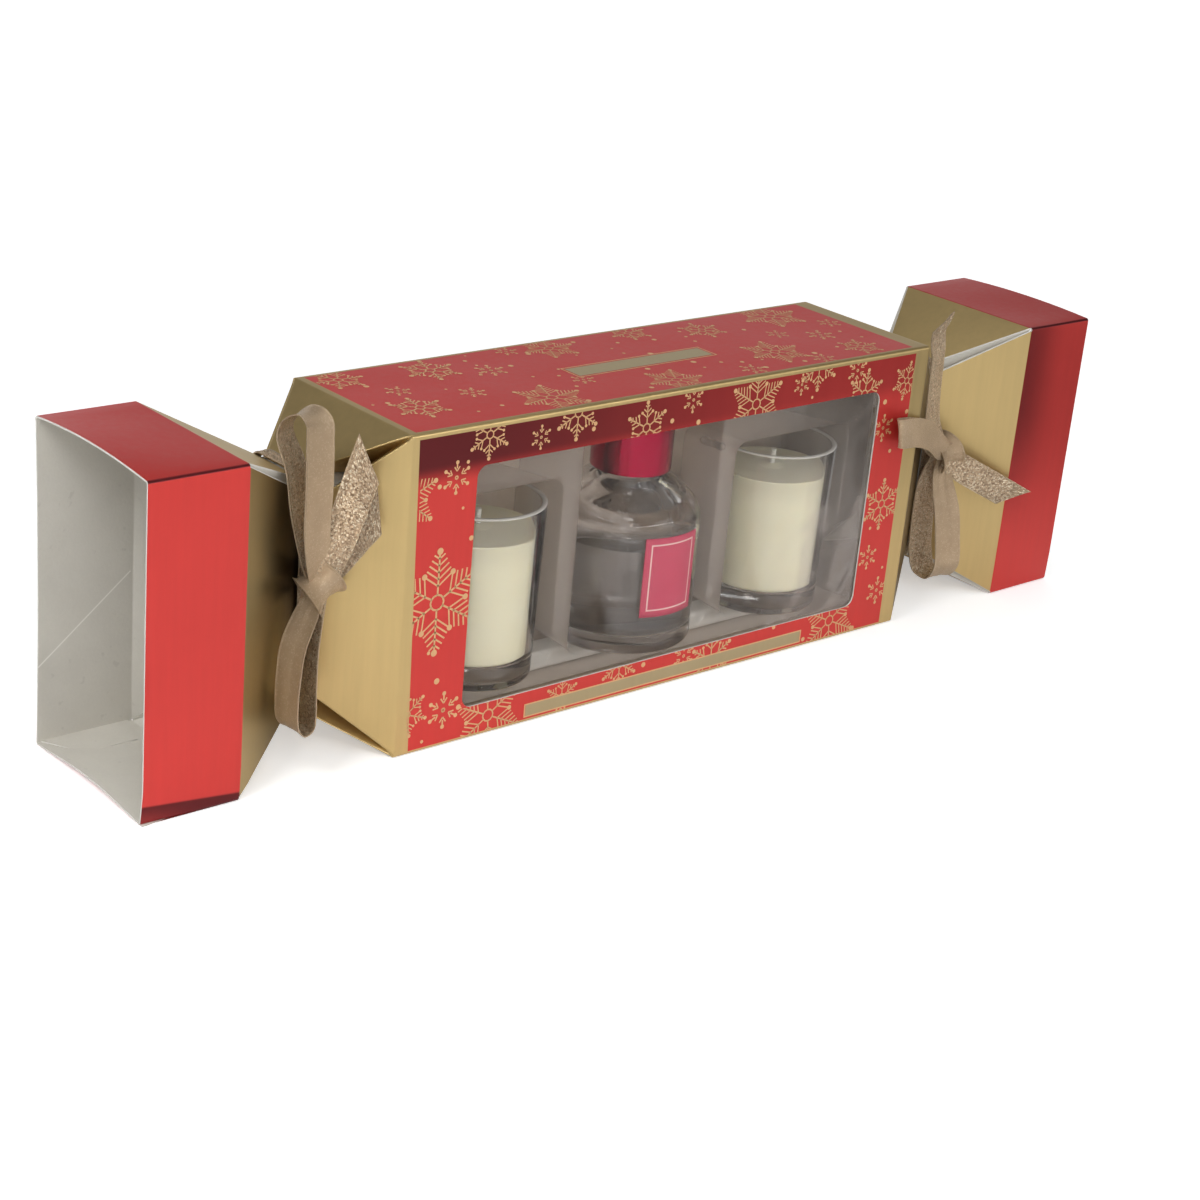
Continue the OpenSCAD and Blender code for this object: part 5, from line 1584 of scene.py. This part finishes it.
LEFT_BACK_TAIL = [
    (0.1, -0.15, 0.1, 0.55, -0.3, -0.2), (0.42, -0.32, 0.65, 0.55, -0.6, -0.35),
    (0.88, -0.5, 1.35, 0.55, -0.73, -0.4), (1.2, -0.72, 1.87, 0.55, -0.73, -0.4),
    (1.46, -0.9, 2.34, 0.55, -0.73, -0.4)]
RIGHT_LOWER = [
    (0, -0.25, -0.15, 0.55, 0, 0), (-0.2, -0.5, -0.9, 0.8, -0.1, 0), (0, -0.7, -2.0, 1, -0.1, 0),
    (0.14, -0.78, -3.02, 1, -0.1, 0), (0.3, -0.75, -4.05, 1, -0.1, 0), (0.36, -0.35, -4.62, 1, 0, 0),
    (0.2, 0.1, -4.45, 1, 0, 0), (0.02, 0.2, -3.9, 1, 0, 0), (-0.15, 0.17, -2.96, 1, 0, 0),
    (-0.25, 0.1, -1.85, 1, 0, 0), (-0.3, 0.05, -1.1, 0.9, 0, 0), (-0.05, 0, -0.15, 0.6, 0, 0)]
RIGHT_UP_TAIL = [
    (-0.1, -0.12, 0.1, 0.6, 0, 0.2), (-0.55, -0.22, 0.65, 0.8, 0.1, 0.25),
    (-0.88, -0.3, 1.26, 0.95, 0.22, 0.1), (-1.08, -0.38, 2.3, 0.95, 0.25, 0),
    (-1.2, -0.42, 3.74, 0.95, 0.25, 0), (-1.24, -0.38, 4.4, 0.95, 0.25, 0),
    (-1.02, -0.3, 4.87, 0.95, 0.25, 0)]
RIGHT_SIDE_LOOP = [
    (-0.05, -0.2, 0.2, 0, 0, 0.6), (-0.7, -0.36, 0.46, -0.05, 0.06, 0.9),
    (-1.6, -0.68, 1.02, -0.1, 0.13, 0.98), (-2.4, -1.13, 1.34, -0.1, 0.13, 0.98),
    (-3.2, -1.32, 1.56, -0.1, 0.13, 0.98), (-3.8, -1.43, 1.66, -0.1, 0.13, 0.98),
    (-3.96, -1.53, 1.68, -0.1, 0.13, 0.98), (-3.75, -1.62, 1.67, -0.1, 0.13, 0.98),
    (-2.76, -1.33, 1.48, -0.1, 0.13, 0.98), (-1.68, -0.95, 1.07, -0.1, 0.13, 0.98),
    (-0.76, -0.64, 0.47, -0.05, 0.06, 0.9), (-0.05, -0.42, 0.15, 0, 0, 0.6)]
RIGHT_OUT_TAIL = [
    (-0.05, -0.35, -0.12, 0.4, 0, 0.6), (0.45, -0.54, -0.44, 0.53, -0.07, 0.8),
    (1.02, -0.75, -0.79, 0.57, -0.07, 0.82), (1.8, -1.02, -1.22, 0.57, -0.07, 0.82),
    (2.59, -1.3, -1.67, 0.57, -0.07, 0.82)]
CUT_SLANT = 1.1
KNOT_R, KNOT_Z = 5 * MM, 62 * MM
BAND_DEPTH, KNOT_GAP = 2.7 * MM, 0.3 * MM
BOW_CLEARANCE, CLEAR_FROM, CLEAR_REACH = math.tan(math.radians(8)), 6 * MM, 20 * MM
swing_x = (neck_x + hood_neck_x) / 2
knot_y = -(NECK_Y + BAND_DEPTH + KNOT_GAP + KNOT_R)


def knot_route(radius, slant, half):
    """A turn of ribbon round the bow's middle; it bulges to the front, its width along the knot's axis."""
    axis = np.array([math.cos(slant), 0, -math.sin(slant)])
    side, up = np.array([0, -1.0, 0]), np.array([math.sin(slant), 0, math.cos(slant)])
    route = []
    for a in np.linspace(0, 2 * math.pi, 17):
        depth = 1.3 if math.cos(a) > 0 else 0.98
        place = radius / RIBBON_W * (depth * math.cos(a) * side + 1.26 * math.sin(a) * up)
        route.append((*place, *(axis * 2 * half * (0.76 + 0.24 * math.cos(a)))))
    return route


def bow(name, sign, loops, tails, slant, half, replaced):
    """The glitter side lies inside the loops and in front on the tails, and the knot shows the plain side.
    loops: (route, glitter); slant and half width are the knot's."""
    origin = (sign * swing_x, knot_y, KNOT_Z)
    strips = [strip(route, origin, seed=3 + i, glitter=side) for i, (route, side) in enumerate(loops)]
    strips += [strip(route, origin, lean=sign * CUT_SLANT, seed=11 + i) for i, route in enumerate(tails)]
    strips.append(strip(knot_route(KNOT_R, math.radians(slant), half), origin, steps=4, hollow=-0.2,
                        crease=0.07, seed=23, closed=True, glitter=-1))
    piece, length = ribbon_piece(name, strips)
    # The cloth hangs free of the flare, which comes forward as its hood swings.
    for vert in piece.data.vertices:
        outward = abs(vert.co.x) - swing_x + CLEAR_FROM
        vert.co.y -= min(max(0.0, outward), CLEAR_REACH) * BOW_CLEARANCE
    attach(piece, "carton")
    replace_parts(piece, replaced)


bow("left_bow_cloth", -1, [(UPPER_LOOP, -1), (LEFT_LOWER, 1)],
    [LEFT_FRONT_TAIL, LEFT_BACK_TAIL], -35, 0.58, "left_ribbon_bow")
bow("right_bow_cloth", 1, [(RIGHT_LOWER, 1), (RIGHT_SIDE_LOOP, 1)],
    [RIGHT_UP_TAIL, RIGHT_OUT_TAIL], -18, 0.46, "right_ribbon_bow")

# %% [markdown]
# Round the neck the ribbon is pulled tight and gathers into pleats. Its section is a folded
# line that is carried round the neck's eight-sided outline, and the pleats wander a little.

# %% Ribbon bands
# Each pleat point: its place across the band and its height over the board, in mm.
PLEATS = [(-2.0, 2.0), (-1.5, 2.55), (-1.0, 1.75), (-0.5, 1.2), (0.0, 2.5),
          (0.5, 1.1), (1.0, 1.45), (1.5, 2.6), (2.0, 2.1), (2.45, 2.45)]
BAND_T = 0.24 * MM
corner_y, corner_z = NECK_Y - 4 * MM, NECK_Z - 6.5 * MM
BAND_CORNERS = [(-NECK_Y, -corner_z), (-NECK_Y, corner_z), (-corner_y, NECK_Z), (corner_y, NECK_Z),
                (NECK_Y, corner_z), (NECK_Y, -corner_z), (corner_y, -NECK_Z), (-corner_y, -NECK_Z)]


def band_piece(name, sign, replaced):
    path = softened([np.array([0.0, *c]) for c in BAND_CORNERS], 3 * MM, 5, [26, 1, 8, 1] * 2)
    count = len(path)
    verts, uvs, run = [], [], 0.0
    total = sum(np.linalg.norm(path[i] - path[i - 1]) for i in range(count))
    for k in range(count):
        tangent = unit(path[(k + 1) % count] - path[k - 1])
        out = unit(np.cross(tangent, [1.0, 0, 0]))
        if out @ path[k] < 0:
            out = -out
        run += np.linalg.norm(path[k] - path[k - 1]) if k else 0.0
        row = []
        for i, (x, h) in enumerate(PLEATS):
            drift = 0.12 * math.sin(run / MM * 0.11 + i * 1.7)
            rise = min(max(h + 0.5 * drift, 0.75 + abs(x) * 0.52), BAND_DEPTH / MM)
            place = path[k] + np.array([sign * (swing_x - (x + drift) * MM), 0, mid_z])
            row.append((i, place + out * rise * MM))
        for side, points in ((1, row), (-1, row[::-1])):
            verts += [p + out * side * BAND_T / 2 for _, p in points]
            uvs += [(i / (len(PLEATS) - 1), run / RIBBON_W) for i, _ in points]
    columns = 2 * len(PLEATS)
    piece = new_piece(name, verts, looped(ring_faces(count + 1, columns), count * columns), [ribbon_satin])
    set_uv(piece, "ribbon", uvs)
    tidy_mesh(piece, 1e-7)
    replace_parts(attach(piece, "carton"), replaced)
    print(name, "goes round", round(total, 4))


band_piece("left_band_cloth", -1, "left_ribbon_band")
band_piece("right_band_cloth", 1, "right_ribbon_band")

# %% The dressed box's bounds
low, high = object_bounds()
print("dressed:", [round(v, 4) for v in (*low, *high)])
